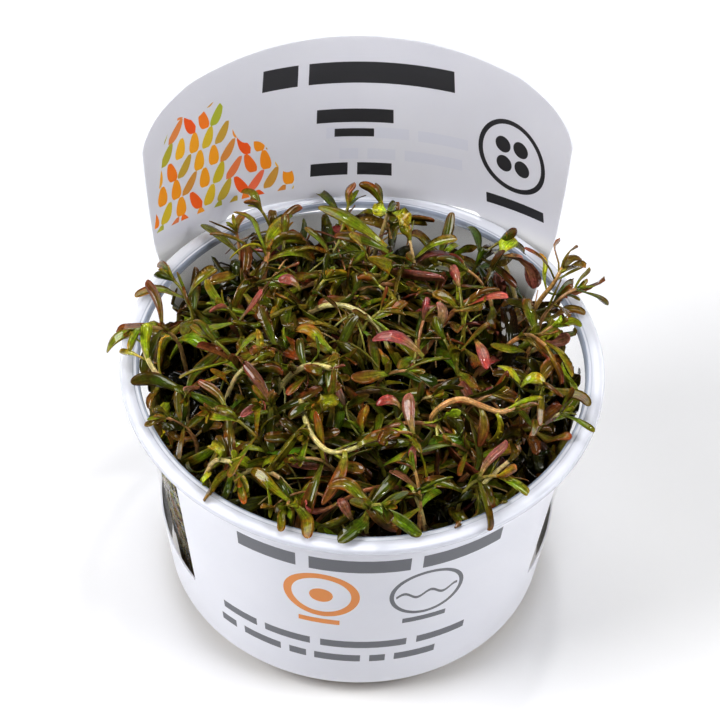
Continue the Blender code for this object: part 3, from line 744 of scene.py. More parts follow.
# Arrays with their tints and the number of their material, held inside the wall where a clearance is given
def tintedSet(made, colour, darkest, inside, kind):
    points, quads, tris, uv, per = made
    tint = np.concatenate([np.clip(colour, darkest, 0.9), np.ones((len(colour), per, 1))], -1)
    return (keepInside(points, inside) if inside else points), quads, tris, uv, tint.reshape(-1, 4), kind


# A set of blades with its tints: the middle colour goes over to the edge colour with the square of the way
# out and with the cube of the way along, the foot is paler, and every leaf has its own brightness, which also
# carries its layer's painted light and shade.
def leafSet(rng, made, choice, bright, inside=None):
    uv, per = made[3:]
    n = len(choice)
    middle = np.array([c[1] for c in leafTints])[choice]
    edge = np.array([c[2] for c in leafTints])[choice]
    off = np.abs(uv[:, 0].reshape(n, per, 1) * 2 - 1)
    along = uv[:, 1].reshape(n, per, 1)
    bright = bright[:, None, None]
    share = np.clip((0.7 * off ** 2 + 0.8 * along ** 3) * rng.uniform(0.2, 1.3, (n, 1, 1)), 0, 1)
    colour = (middle[:, None] * (1 - share) + edge[:, None] * share) * bright
    pale = np.clip(1 - along / 0.45, 0, 1) ** 1.5 * rng.uniform(0.2, 1.0, (n, 1, 1))
    colour = colour * (1 - pale) + paleFoot * bright * pale
    colour = colour * (1 + 0.1 * rng.standard_normal((n, 1, 3)))
    return tintedSet(made, colour, 0.002, inside, 0)


# Stems with their tints; their brightness carries the layer's painted light and shade.
def stemSet(rng, made, choice, bright, inside=None):
    n = len(choice)
    colour = np.array(stemTints)[choice][:, None] * bright[:, None, None] * np.ones((n, made[4], 1))
    colour = colour * (1 + 0.05 * rng.standard_normal((n, 1, 3)))
    return tintedSet(made, colour, 0.003, inside, 1)


# Makes one object of several sets, with the face numbers moved along, and settles it on its solid.
def plantPiece(name, sets, looks, node="small_shoots"):
    base = np.cumsum([0] + [len(part[0]) for part in sets])
    quads = np.concatenate([part[1] + move for part, move in zip(sets, base)])
    tris = np.concatenate([part[2] + move for part, move in zip(sets, base)])
    kinds = np.concatenate([np.full(len(part[k]), part[5]) for k in (1, 2) for part in sets])
    points, uv, tint = (np.concatenate([part[k] for part in sets]) for k in (0, 3, 4))
    made = makeObject(name, points, quads, tris, looks, uv=uv, tint=tint, kinds=kinds)
    settle(made, node)
    return len(quads) * 2 + len(tris)


# Midlines of leaves: the heading turns from the shoot's own line towards its outer side by an angle that
# grows evenly along the leaf, and the tip sinks with the square of the way along.
def leafPaths(foot, fore, lead, span, open0, curl, sink, drift, stations=8):
    t = bladeSteps(stations)[None, :, None]
    angle = open0[:, None] + curl[:, None] * t
    heading = fore[:, None] * np.cos(angle) + lead[:, None] * np.sin(angle)
    step = np.diff(t, axis=1) * span[:, None]
    path = np.concatenate([np.zeros_like(heading[:, :1]),
                           np.cumsum(0.5 * (heading[:, 1:] + heading[:, :-1]) * step, 1)], 1)
    path = path + foot[:, None] + drift[:, None] * span[:, None] * t ** 2
    path[:, :, 2] -= sink * span * t[:, :, 0] ** 2
    return path


# A bent line through foot, middle and tip: the quadratic curve that is at the middle point half way along.
def bentLine(foot, mid, tip, f):
    control = mid * 2.0 - 0.5 * foot - 0.5 * tip
    return foot[:, None] * (1 - f) ** 2 + control[:, None] * 2 * f * (1 - f) + tip[:, None] * f * f


# How leaves grow on a stem: first the two youngest pairs, then the older ones. Angles in radians.
leafHabit = dict(
    opening=((0.05, 0.35), (0.1, 0.6)), hooked=(0.16, 0.32), curl=(0.5, 0.95), curlSpread=0.5,
    hookCurl=(1.4, 2.8), size=(0.62, 1.32), slimShare=0.3, slim=(0.45, 0.7), full=(0.85, 1.3),
    sink=(0.05, 0.6), drift=0.3, wave=0.08, stemTone=0.7, blunt=(5.0, 14.0), fold=(0.0, 0.95), twist=1.0,
    thick=0.34 * mm, bright=(0.45, 1.4),
)


# Leaves in pairs along stems given as paths (n, stations, 3), each pair a quarter turn from the last. lively
# scales curls and hooks, and spread opens every leaf further. The shading number scales the leaves' tints:
# below 1 painted shade, above 1 painted light.
def dressStems(rng, path, marks, leafLong, leafWide, stemRadius, tone, dim, stations=8, lively=1.0,
               spread=0.0):
    h = leafHabit
    n, steps = path.shape[:2]
    ahead = unit(np.gradient(path, axis=1))
    side = unit(np.cross(ahead[:, 0], unit(rng.standard_normal((n, 3)))))
    t = bladeSteps(stations)[None, :, None]
    sets = []
    for pair, mark in enumerate(marks):
        spot = mark * (steps - 1)
        k = min(int(spot), steps - 2)
        part = spot - k
        here = path[:, k] * (1 - part) + path[:, k + 1] * part
        fore = unit(ahead[:, k] * (1 - part) + ahead[:, k + 1] * part)
        side = unit(side - fore * np.sum(side * fore, -1, keepdims=True))
        out = side if pair % 2 == 0 else np.cross(fore, side)
        left = len(marks) - 1 - pair
        old = int(left >= 2)
        grow = {0: 0.66, 1: 0.88}.get(left, 1.0)
        for sign in (1.0, -1.0):
            lead = unit(out * sign + np.cross(fore, out) * rng.normal(0, 0.3, (n, 1)))
            open0 = spread + rng.uniform(*h["opening"][old], (n, 1))
            hooked = rng.random((n, 1)) < h["hooked"][old] * lively
            curl = np.where(hooked, rng.uniform(*h["hookCurl"], (n, 1)),
                            lively * rng.normal(h["curl"][old], h["curlSpread"], (n, 1)))
            span = (grow * leafLong * rng.uniform(*h["size"], n))[:, None]
            slim = np.where(rng.random(n) < h["slimShare"], rng.uniform(*h["slim"], n),
                            rng.uniform(*h["full"], n))
            breadth = (0.85 if left == 0 else 1.0) * leafWide * slim
            wide = unit(np.cross(fore, lead))
            foot = here + lead * stemRadius[:, None] * 0.35
            mid = leafPaths(foot, fore, lead, span, open0, curl, rng.uniform(*h["sink"], (n, 1)),
                            wide * rng.normal(0, h["drift"], (n, 1)), stations)
            swing, rock = rng.normal(0, h["wave"], (2, n, 1, 1)) * span[:, None] * t
            phase = rng.uniform(0, 6.28, (2, n, 1, 1))
            mid = (mid + wide[:, None] * swing * np.sin(5.0 * t + phase[0])
                   + lead[:, None] * rock * np.sin(6.0 * t + phase[1]))
            own = np.where(rng.random(n) < h["stemTone"], tone, pickTone(rng, n))
            made = leafArrays(mid, wide, fore, breadth, rng.uniform(*h["blunt"], n),
                              rng.uniform(*h["fold"], n), rng.normal(0, h["twist"], n), h["thick"])
            sets.append(leafSet(rng, made, own, dim * rng.uniform(*h["bright"], n), 0.25 * mm))
    return sets


matSize = dict(centre=57.5 * mm, edge=50.5 * mm, edgeRadius=40.6 * mm)
# Lumps of the visible tangle over the solid's top: round hills, each x, y, spread and height in mm
lumps = [(-20, 26, 9, 5.5), (3, 33, 9, 4.0), (22, 24, 10, 5.0), (0, 6, 12, 3.0), (-30, 4, 8, 3.5),
         (33, 0, 8, 3.0), (0, -30, 14, 3.5), (-22, -22, 9, 3.0), (22, -24, 9, 3.0)]


def lumpHeight(x, y):
    hills = sum(high * np.exp(-((x / mm - cx) ** 2 + (y / mm - cy) ** 2) / wide ** 2)
                for cx, cy, wide, high in lumps)
    return (hills - 0.6) * mm


# The solid's top: it falls from the centre to the edge with a power of the radius, with crossed sine ripples.
def matHeight(x, y):
    r = np.hypot(x, y) / matSize["edgeRadius"]
    ripple = np.sin(x * 330 + 1.0) * np.sin(y * 290 + 0.4) + 0.6 * np.sin(x * 610 - y * 520)
    return matSize["centre"] + (matSize["edge"] - matSize["centre"]) * r ** 2.2 + 1.1 * mm * ripple


# A crowd of shoots as arrays. Each stem starts near upright at its foot and bends over by an angle that grows
# with the distance along it; topAt is how far its highest point stands over the tangle's top. The crowd's
# shading number scales all its tints: below 1 painted shade, above 1 painted light.
def shootCrowd(rng, feet, length, endTilt, azimuth, topAt, marks, leafLong, leafWide, stemRadius, dim,
               stations=8):
    n = len(feet)
    steps = 14
    t = np.linspace(0, 1, steps)[None]
    azimuth = azimuth[:, None] + rng.normal(0, 0.9, (n, 1)) * t
    sway = rng.normal(0, 0.22, (n, 1)) * np.sin(rng.uniform(2, 6, (n, 1)) * t + rng.uniform(0, 6, (n, 1)))
    tilt = rng.uniform(0.02, 0.35, (n, 1)) + endTilt[:, None] * t ** 1.6 + sway
    ahead = np.stack([np.sin(tilt) * np.cos(azimuth), np.sin(tilt) * np.sin(azimuth), np.cos(tilt)], -1)
    step = length[:, None, None] / (steps - 1)
    path = np.concatenate([np.zeros((n, 1, 3)), np.cumsum(0.5 * (ahead[:, 1:] + ahead[:, :-1]) * step, 1)], 1)
    path = path + feet[:, None]
    if topAt is not None:
        x, y = path[:, -1, 0], path[:, -1, 1]
        path[:, :, 2] += (matHeight(x, y) + lumpHeight(x, y) + topAt - path[:, :, 2].max(1))[:, None]
    path = keepInside(path.reshape(-1, 3), 0.9 * mm).reshape(n, steps, 3)
    made = stemArrays(path, stemRadius[:, None] * (1 - 0.35 * t), 6)
    tone = rng.choice(len(stemTints), n, p=stemShares)
    sets = [stemSet(rng, made, tone, dim * rng.uniform(0.7, 1.25, n), 0.5 * mm)]
    return sets + dressStems(rng, path, marks, leafLong, leafWide, stemRadius, pickTone(rng, n), dim,
                             stations)


# Long shoots, each on its own solid

shootSize = dict(count=50, widest=0.52, fuller=1.15, stem=0.5 * mm, leafFoot=0.8 * mm, rootDepth=1.0 * mm,
                 seed=41, tries=260)
chosenFeet = [(-35.5, 3.0), (35.0, 14.5), (5.0, 34.0), (-18.5, 31.5), (21.0, 24.5),
              (-12.0, -34.0), (12.0, -35.0), (33.5, -14.0), (-31.0, -19.0)]
# Where the chosen shoots lean: turn in radians, end tilt in degrees, length in mm
shootAims = [(3.05, 78, 17), (0.35, 70, 17), (1.6, 55, 15), (2.1, 45, 16), (0.9, 60, 15),
             (4.4, 60, 13), (5.0, 60, 13), (5.9, 60, 13), (3.7, 60, 13)]
shootLooks = [("leaf_bright", 2), ("leaf_rose", 5), ("leaf_green", 0), ("leaf_bronze", 4), ("leaf_olive", 1)]
roseTone = 5


# Feet of the long shoots, drawn in the same order as the solids' own scatter
def shootFeet(rnd):
    feet = [(x * mm, y * mm) for x, y in chosenFeet]
    reach = 8.9 * mm
    while len(feet) < shootSize["count"]:
        for _ in range(400):
            a = rnd.uniform(0, fullTurn)
            r = 37.2 * mm * math.sqrt(rnd.random())
            x = r * math.cos(a)
            y = r * math.sin(a)
            if all(math.hypot(x - fx, y - fy) > reach for fx, fy in feet):
                feet.append((x, y))
                break
        else:
            reach *= 0.96
    return feet


# One long shoot: the stem's path and its leaves, with the same draws as its solid. Returns the fine path, the
# leaf list and the box of the simple shape, which tells which of the tries the solid was made from.
def shootPlan(foot, rnd, size, aim):
    length = size * rnd.uniform(13.0, 19.0) * mm
    start = math.radians(rnd.uniform(2, 10))
    end = math.radians(rnd.uniform(25, 88))
    azimuth = rnd.uniform(0, fullTurn)
    if aim is not None:
        azimuth = aim[0] + rnd.uniform(-0.2, 0.2)
        end = math.radians(rnd.uniform(aim[1], aim[1] + 14))
        length = aim[2] * mm * rnd.uniform(0.92, 1.05)
    twist = rnd.uniform(-0.9, 0.9)
    pairs = 3
    pending = [0.0]
    for k in range(pairs):
        f = 0.34 + 0.6 * k / (pairs - 1) + rnd.uniform(-0.03, 0.03) * (k < pairs - 1)
        pending += [f, f + shootSize["leafFoot"] / length]
    here = Vector((foot[0], foot[1], matHeight(*foot) - shootSize["rootDepth"]))
    side = Vector((math.cos(azimuth + 1.2), math.sin(azimuth + 1.2), 0.0))
    stations = []
    path = []
    fine = 48
    for k in range(fine + 6):
        t = k / fine
        angle = start + (end - start) * max(0.0, t - 0.12) ** 1.2
        turn = azimuth + twist * t
        ahead = Vector((math.sin(angle) * math.cos(turn), math.sin(angle) * math.sin(turn), math.cos(angle)))
        side = (side - ahead * side.dot(ahead)).normalized()
        path.append(tuple(here))
        while pending and t >= pending[0] - 1e-9:
            stations.append((here.copy(), ahead.copy(), side.copy(), t))
            pending.pop(0)
        if not pending:
            break
        here = here + ahead * (length / fine)
    points = []
    for place, ahead, across, t in stations:
        r = shootSize["stem"] * (1.0 - 0.35 * t)
        other = ahead.cross(across)
        for k in range(4):
            a = math.pi / 4 + math.pi / 2 * k
            points.append(place + across * (r * 1.3 * math.cos(a)) + other * (r * 1.3 * math.sin(a)))
    leaves = []
    for pair in range(pairs):
        k = pair * 2 + 1
        last = pair == pairs - 1
        place, ahead, across, t = stations[k]
        for s in range(4):
            if s % 2 != pair % 2:
                continue
            n = (s + 1) % 4
            quad = [points[4 * k + s], points[4 * k + n], points[4 * k + 4 + n], points[4 * k + 4 + s]]
            middle = (quad[0] + quad[1] + quad[2] + quad[3]) / 4
            outward = (middle - place - ahead * (middle - place).dot(ahead)).normalized()
            wide = (quad[1] - quad[0]).normalized()
            spread = math.radians(rnd.uniform(22, 42) if last else rnd.uniform(48, 84))
            span = size * (rnd.uniform(5.0, 7.5) if last else rnd.uniform(7.5, 10.5)) * mm
            breadth = size * (rnd.uniform(1.5, 2.0) if last else rnd.uniform(1.9, 2.6)) * mm
            heading = (outward * math.sin(spread) + ahead * math.cos(spread)).normalized()
            sag = rnd.uniform(-0.15, 0.75)
            mid = middle + heading * (span * shootSize["widest"]) - Vector((0, 0, 1)) * (span * 0.06 * sag)
            bend = (heading - Vector((0, 0, 1)) * sag * 0.6 + wide * rnd.uniform(-0.25, 0.25)).normalized()
            tip = mid + bend * (span * (1.0 - shootSize["widest"]))
            leaves.append((tuple(middle - outward * 0.3 * mm), tuple(mid), tuple(tip), tuple(wide),
                           tuple(ahead), breadth))
    reach = points + [Vector(leaf[2]) for leaf in leaves]
    box = [[f(p[k] for p in reach) for k in range(3)] for f in (min, max)]
    return path, leaves, np.array(box), stations[-1]


# The try whose box is nearest the solid's own
def solidPlan(number, foot):
    want = np.array([tuple(corner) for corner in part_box(f"shoot_{number + 1:02d}")])
    rnd = Random(shootSize["seed"] * 1000 + number)
    tries = shootSize["tries"]
    best = (1.0, None)
    for attempt in range(tries):
        aim = shootAims[number] if number < len(shootAims) and attempt < 160 else None
        plan = shootPlan(foot, rnd, 1.0 - 0.45 * attempt / tries, aim)
        off = float(np.abs(plan[2] - want).max())
        if off < best[0]:
            best = (off, plan)
    return best


# Blades through the solid's leaf points, a little fuller and with a wave. Near the rim a midline is lifted so
# that the leaf lies over the flange.
def longLeaves(rng, leaves, tone):
    foot, mid, tip, wide, up, breadth = (np.array([leaf[k] for leaf in leaves]) for k in range(6))
    fuller = shootSize["fuller"]
    mid, tip = (foot + (v - foot) * fuller for v in (mid, tip))
    n = len(foot)
    f = bladeSteps(13)[None, :, None]
    line = bentLine(foot, mid, tip, f)
    span = np.linalg.norm(tip - foot, axis=-1)[:, None, None]
    swing = rng.normal(0, 0.11, (n, 1, 1)) * np.sin(4.0 * f + rng.uniform(0, 6.28, (n, 1, 1)))
    line = line + wide[:, None] * swing * span * f
    line[:, :, 2] -= (rng.uniform(-0.05, 0.4, (n, 1, 1)) * span * f ** 2)[:, :, 0]
    overRim = np.clip((np.hypot(line[:, :, 0], line[:, :, 1]) - 40.5 * mm) / (2.5 * mm), 0.0, 1.0)
    line[:, :, 2] += overRim * np.maximum(cupSize["rimTop"] + 1.0 * mm - line[:, :, 2], 0.0)
    made = leafArrays(line, wide, up, breadth * fuller, rng.uniform(5.0, 13.0, n), rng.uniform(0.0, 0.85, n),
                      rng.normal(0, 0.6, n), leafHabit["thick"])
    choice = np.where(rng.random(n) < (0.35 if tone == roseTone else 0.7), tone, pickTone(rng, n))
    return leafSet(rng, made, choice, rng.uniform(0.8, 1.4, n))


# Four tiny leaves round the end of a shoot
def budLeaves(rng, end):
    place, ahead, across = (np.array(v) for v in end[:3])
    other = np.cross(ahead, across)
    lead = np.array([across, other, -across, -other])
    fore = np.repeat(ahead[None], 4, 0)
    line = leafPaths(place + fore * 0.3 * mm, fore, lead, rng.uniform(2.0, 4.0, (4, 1)) * mm,
                     rng.uniform(0.3, 0.6, (4, 1)), rng.uniform(-0.5, 0.4, (4, 1)), np.zeros((4, 1)),
                     lead * 0)
    made = leafArrays(line, unit(np.cross(fore, lead)), fore, np.full(4, 1.3 * mm), np.full(4, 4.0),
                      np.full(4, 0.4), np.zeros(4), 0.25 * mm)
    return leafSet(rng, made, np.full(4, 2), np.full(4, 1.1))


# Each long shoot: a stem with swollen nodes that goes on down into the tangle, full blades, one more pair of
# leaves on the stem, and a bud.
def buildLongShoots(looks):
    missed = 0
    for number, foot in enumerate(shootFeet(Random(shootSize["seed"]))):
        off, (path, leaves, _, end) = solidPlan(number, foot)
        missed += off > 1.0 * mm
        slotName, tone = shootLooks[number % len(shootLooks)]
        rng = np.random.default_rng(900 + number)
        path = np.array(path)[::3]
        root = path[0] - unit(path[1] - path[0]) * np.array([[9.0], [6.0], [3.0]]) * mm
        path = np.concatenate([root, path])[None]
        t = np.linspace(0, 1, path.shape[1])
        radius = (shootSize["stem"] * (1.0 - 0.4 * t) * (1 + 0.12 * np.sin(t * 40)))[None]
        sets = [stemSet(rng, stemArrays(path, radius, 8), rng.integers(0, 4, 1), np.array([1.1])),
                longLeaves(rng, leaves, tone)]
        sets += dressStems(rng, path, (0.6,), 12.0 * mm, 2.7 * mm, np.array([0.4 * mm]), pickTone(rng, 1),
                           0.9)
        sets.append(budLeaves(rng, end))
        node = f"shoot_{number + 1:02d}"
        plantPiece(node + "_grown", sets, looks, node)
    print("long shoots whose solid was not matched:", missed)


# Small shoots

def discFeet(rng, n, radius):
    a = rng.uniform(0, fullTurn, n)
    r = radius * np.sqrt(rng.random(n))
    return np.stack([r * np.cos(a), r * np.sin(a), np.zeros(n)], -1)


# Dark hollows between the clumps: places (x, y, radius in mm) where no foot of the upper layers stands
hollows = [(4, -3, 6), (-13, -11, 6), (17, -6, 5), (-22, 12, 5), (8, 16, 4.5), (-4, -27, 6), (24, -20, 5),
           (-33, -12, 4), (-8, 8, 4.5), (13, -16, 4.5), (-24, -4, 4.5)]


def clearHollows(feet):
    for x, y, radius in hollows:
        way = feet[:, :2] / mm - (x, y)
        far = np.linalg.norm(way, axis=1, keepdims=True)
        feet[:, :2] = np.where(far < radius, (np.array([(x, y)]) + way / np.maximum(far, 0.1) * radius) * mm,
                               feet[:, :2])
    return feet


# Shoots that stand out in the tangle. Each point was picked on the photo: pixels across and down, and the
# height in mm that it is taken to have. Three stems were then moved: back gives the mm towards +Y for each
# point. Stems have a radius, a stem colour, where leaf pairs sit, and the leaves' length, width and colour;
# single blades have foot, middle, tip, width and colour.
markedPlants = dict(
    # The marked stems, leaves and blades are painted lighter than the tangle: painted light.
    points=18, leafStations=9, lively=0.45, spread=0.35, stemDim=1.25, leafDim=1.2, bladeDim=1.15,
    stems=[
        dict(path=[(262, 430, 47), (270, 405, 56), (282, 385, 61), (295, 372, 65), (311, 365, 67),
                   (330, 368, 68)],
             radius=0.75, stem=1, marks=(0.8, 0.9, 1.0), long=7.5, wide=2.0, tone=5),
        dict(path=[(438, 450, 50), (434, 433, 58), (432, 417, 63), (445, 404, 67), (462, 399, 68),
                   (480, 405, 67.5), (500, 412, 66), (514, 407, 66)],
             radius=0.7, stem=2, marks=(0.82, 0.92, 1.0), long=7.5, wide=2.2, tone=3),
        dict(path=[(298, 395, 60), (302, 405, 64), (306, 422, 65), (314, 438, 65), (328, 451, 64),
                   (345, 451, 64), (362, 445, 64)],
             radius=0.62, stem=1, marks=(0.35, 0.72, 1.0), long=9.5, wide=2.2, tone=0),
        dict(path=[(428, 545, 44), (425, 530, 50), (420, 508, 56), (414, 492, 59)],
             radius=0.55, stem=1, marks=(0.9, 1.0), long=7.2, wide=3.4, tone=3, spread=0.8),
        dict(path=[(200, 520, 46), (203, 500, 52), (206, 480, 57), (216, 462, 61), (230, 462, 62)],
             back=(4.5, 3.4, 1.6, 0.4, 0),
             radius=0.6, stem=1, marks=(0.55, 0.8, 1.0), long=7.5, wide=2.3, tone=3),
        dict(path=[(520, 310, 52), (514, 292, 58), (507, 270, 63), (500, 256, 66)], back=(-2, 0, 0, 0),
             radius=0.5, stem=1, marks=(0.92, 1.0), long=8.0, wide=4.0, tone=3, spread=1.0),
        dict(path=[(372, 262, 54), (380, 240, 61), (385, 222, 66), (388, 212, 68)],
             radius=0.5, stem=1, marks=(0.9, 1.0), long=7.0, wide=3.6, tone=3, spread=1.0),
        dict(path=[(255, 305, 50), (262, 285, 57), (265, 268, 62), (268, 252, 65)],
             radius=0.7, stem=2, marks=(0.66, 0.8, 0.9, 0.96, 1.0), long=12.5, wide=3.0, tone=2),
        dict(path=[(186, 400, 48), (178, 388, 54), (160, 377, 60), (148, 360, 63), (142, 342, 64)],
             radius=0.6, stem=1, marks=(0.45, 0.75, 1.0), long=9.0, wide=2.0, tone=3),
        dict(path=[(525, 325, 50), (540, 300, 58), (553, 284, 64), (562, 268, 67)],
             radius=0.55, stem=2, marks=(0.5, 0.75, 0.9, 1.0), long=8.5, wide=2.2, tone=4),
        dict(path=[(235, 500, 50), (240, 480, 57), (255, 470, 60), (275, 475, 60), (290, 490, 57)],
             back=(2, 1, 0, 0, 0),
             radius=0.6, stem=1, marks=(0.3, 0.6, 0.85, 1.0), long=9.0, wide=2.2, tone=2),
        dict(path=[(470, 520, 44), (474, 500, 52), (487, 480, 57), (508, 462, 60)],
             radius=0.55, stem=1, marks=(0.5, 0.75, 1.0), long=9.0, wide=2.2, tone=0),
        dict(path=[(500, 352, 56), (515, 340, 62), (530, 335, 64), (545, 345, 63)],
             radius=0.5, stem=2, marks=(0.4, 0.7, 1.0), long=8.5, wide=2.0, tone=4),
        dict(path=[(225, 420, 50), (228, 395, 58), (240, 372, 63), (258, 362, 65)],
             radius=0.55, stem=1, marks=(0.45, 0.7, 0.88, 1.0), long=9.0, wide=2.2, tone=0),
    ],
    blades=[
        ((423, 357, 65), (398, 338, 68.5), (372, 341, 68), 3, 5),
        ((332, 372, 67.5), (337, 388, 67), (345, 405, 65), 1.7, 5),
        ((345, 451, 64.5), (340, 475, 63), (322, 505, 60), 2.6, 4),
        ((386, 247, 66), (352, 222, 70), (318, 207, 70.5), 3, 0),
        ((388, 252, 66), (362, 240, 69), (334, 236, 69), 2.7, 1),
        ((358, 446, 64.5), (378, 436, 66), (400, 434, 65), 2.6, 0),
        ((300, 290, 66), (290, 280, 68), (278, 282, 68), 2.4, 5),
        ((475, 340, 64), (482, 352, 65), (487, 370, 64), 2.4, 5),
        ((402, 410, 64), (390, 400, 66), (376, 406, 65), 2.2, 5),
        ((435, 330, 65), (443, 315, 68), (437, 302, 69), 2.2, 5),
        ((521, 385, 63), (510, 372, 66), (497, 366, 66), 2.2, 3),
        ((521, 387, 63), (534, 378, 65), (545, 384, 64), 2.6, 3),
        ((352, 520, 58), (345, 508, 60), (340, 498, 60), 2.2, 5),
        ((479, 405, 67), (484, 425, 65), (478, 447, 62), 2.2, 4),
    ],
)


# Places in mm of points picked on the photo: the camera's line through each pixel, followed to the point's
# height and moved back, to a tenth of a millimetre.
def seenPlaces(picked, back=0.0):
    right, up, ahead, eye = (np.array(v) for v in cameraAxes())
    eye = eye / mm
    picked = np.asarray(picked, float)
    off = (picked[:, :2] - 0.5 * cameraLook["photoWide"]) / cameraLook["focalPixels"]
    line = ahead + off[:, :1] * right - off[:, 1:] * up
    places = eye + line * (picked[:, 2:] - eye[2]) / line[:, 2:]
    places[:, 1] += back
    return np.round(places, 1)


# A smooth path through given places: between two places, half the sum of the straight line and the turn
# that the neighbours give (a Catmull-Rom curve), taken at even steps.
def smoothPath(places, count):
    p = np.asarray(places, float) * mm
    p = np.concatenate([2 * p[:1] - p[1:2], p, 2 * p[-1:] - p[-2:-1]])
    s = np.linspace(0, len(p) - 3, count)
    k = np.minimum(s.astype(int), len(p) - 4)
    t = (s - k)[:, None]
    a, b, c, d = p[k], p[k + 1], p[k + 2], p[k + 3]
    return 0.5 * (2 * b + (c - a) * t + (2 * a - 5 * b + 4 * c - d) * t ** 2
                  + (3 * b - a - 3 * c + d) * t ** 3)


def markedShoots(rng):
    m = markedPlants
    sets = []
    taper = 1 - 0.25 * np.linspace(0, 1, m["points"])[None]
    for plant in m["stems"]:
        path = smoothPath(seenPlaces(plant["path"], plant.get("back", 0.0)), m["points"])[None]
        radius = np.array([plant["radius"] * mm])
        made = stemArrays(path, radius[:, None] * taper, 8)
        sets.append(stemSet(rng, made, np.array([plant["stem"]]), np.array([m["stemDim"]])))
        sets += dressStems(rng, path, plant["marks"], plant["long"] * mm, plant["wide"] * mm, radius,
                           np.array([plant["tone"]]), m["leafDim"], m["leafStations"], m["lively"],
                           plant.get("spread", m["spread"]))
    foot, mid, tip = (seenPlaces([blade[k] for blade in m["blades"]]) * mm for k in range(3))
    wide, tone = (np.array([blade[k] for blade in m["blades"]]) for k in (3, 4))
    n = len(foot)
    up = np.tile([[0.0, -0.3, 1.0]], (n, 1))
    line = bentLine(foot, mid, tip, bladeSteps(11)[None, :, None])
    made = leafArrays(line, unit(np.cross(tip - foot, up)), up, wide * mm, np.full(n, 4.0),
                      np.full(n, 0.25), rng.normal(0, 0.3, n), 0.32 * mm)
    sets.append(leafSet(rng, made, tone, np.full(n, m["bladeDim"])))
    return sets


# The tangle's layers from the top down: counts, heights over the tangle's top and leaf sizes in mm, end tilt
# in radians. open layers leave the hollows free; the deeper layers' tints are scaled far down, painted shade,
# and the top layer's a touch up, painted light.
wideMarks = (0.38, 0.57, 0.76, 0.94)
closeMarks = (0.3, 0.47, 0.63, 0.79, 0.94)
tangleLayers = [
    dict(count=30, low=0.5, high=6.5, dim=1.02, long=15.0, wide=3.0, tilt=(1.0, 2.4), stem=(0.5, 0.75),
         marks=wideMarks, open=True),
    dict(count=44, low=-6.0, high=-0.5, dim=0.34, long=14.2, wide=2.9, tilt=(0.8, 1.9), stem=(0.42, 0.66),
         marks=wideMarks, open=True),
    dict(count=120, low=-9.5, high=-3.5, dim=0.10, long=11.5, wide=2.5, tilt=(0.4, 1.6), stem=(0.4, 0.6),
         marks=closeMarks, open=False),
]
# Loose shoots over the whole cup: hooked ones on top and bare curled ones, both painted lighter (painted
# light), and filling low down, painted almost black (painted shade)
looseShoots = dict(
    hooks=dict(count=38, reach=34, length=(26, 40), tilt=(1.7, 3.0), top=(1.5, 6.5), marks=(0.55, 0.78, 0.96),
               long=13.0, wide=2.7, stem=(0.5, 0.8), dim=1.25, stations=8),
    roots=dict(count=70, reach=36, length=(16, 30), tilt=(1.5, 4.0), top=(1.0, 7.0), marks=(), long=0.0,
               wide=0.0, stem=(0.16, 0.32), dim=1.1, stations=8),
    low=dict(count=180, reach=39, length=(14, 24), tilt=(0.3, 1.6), top=(-20, -12), marks=closeMarks[1:],
             long=10.0, wide=2.6, stem=(0.32, 0.5), dim=0.06, stations=6),
)
# Clumps that the tangle's layers gather in; every clump's tints are scaled at random between 0.7 and 1.35:
# painted light and painted shade in patches.
clumpLook = dict(count=18, reach=36.0, spread=4.2, edge=38.0, dim=(0.7, 1.35))
# Shoots that stand along the wall behind the windows, painted a little lighter: painted light
wallShoots = dict(count=250, half=46, z=(10, 37), off=(0.5, 1.5), length=(9, 15), tilt=(0.0, 0.7),
                  marks=(0.3, 0.6, 0.9), long=10.0, wide=2.8, stem=(0.4, 0.7), dim=1.1, stations=6, wet=0.08)


# Shoots of one layer in clumps that lean together
def clumpedShoots(rng, layer):
    n = layer["count"]
    c = clumpLook
    clumps = discFeet(rng, c["count"], c["reach"] * mm)
    own = rng.integers(0, len(clumps), n)
    feet = clumps[own] + np.concatenate([rng.normal(0, c["spread"] * mm, (n, 2)), np.zeros((n, 1))], -1)
    r = np.hypot(feet[:, 0], feet[:, 1])
    feet = feet * np.minimum(1.0, c["edge"] * mm / r)[:, None]
    if layer["open"]:
        feet = clearHollows(feet)
    azimuth = rng.uniform(0, fullTurn, len(clumps))[own] + rng.normal(0, 0.6, n)
    return shootCrowd(rng, feet, rng.uniform(20, 36, n) * mm, rng.uniform(*layer["tilt"], n), azimuth,
                      rng.uniform(layer["low"], layer["high"], n) * mm, layer["marks"], layer["long"] * mm,
                      layer["wide"] * mm, rng.uniform(*layer["stem"], n) * mm,
                      layer["dim"] * rng.uniform(*c["dim"], len(clumps))[own])


def scatteredShoots(rng, crowd):
    n = crowd["count"]
    return shootCrowd(rng, discFeet(rng, n, crowd["reach"] * mm), rng.uniform(*crowd["length"], n) * mm,
                      rng.uniform(*crowd["tilt"], n), rng.uniform(0, 6.28, n),
                      rng.uniform(*crowd["top"], n) * mm, crowd["marks"], crowd["long"] * mm,
                      crowd["wide"] * mm, rng.uniform(*crowd["stem"], n) * mm, crowd["dim"],
                      crowd["stations"])


def standingShoots(rng, crowd):
    n = crowd["count"]
    a = (np.where(rng.random(n) < 0.5, math.pi, 0.0)
         + np.radians(rng.uniform(-crowd["half"], crowd["half"], n)))
    z = rng.uniform(*crowd["z"], n) * mm
    r = cupOuter(z) - cupSize["wallSeen"] - rng.uniform(*crowd["off"], n) * mm
    return shootCrowd(rng, np.stack([r * np.cos(a), r * np.sin(a), z], -1),
                      rng.uniform(*crowd["length"], n) * mm, rng.uniform(*crowd["tilt"], n),
                      a + rng.normal(0, 1.2, n), None, crowd["marks"], crowd["long"] * mm,
                      crowd["wide"] * mm, rng.uniform(*crowd["stem"], n) * mm, crowd["dim"],
                      crowd["stations"])


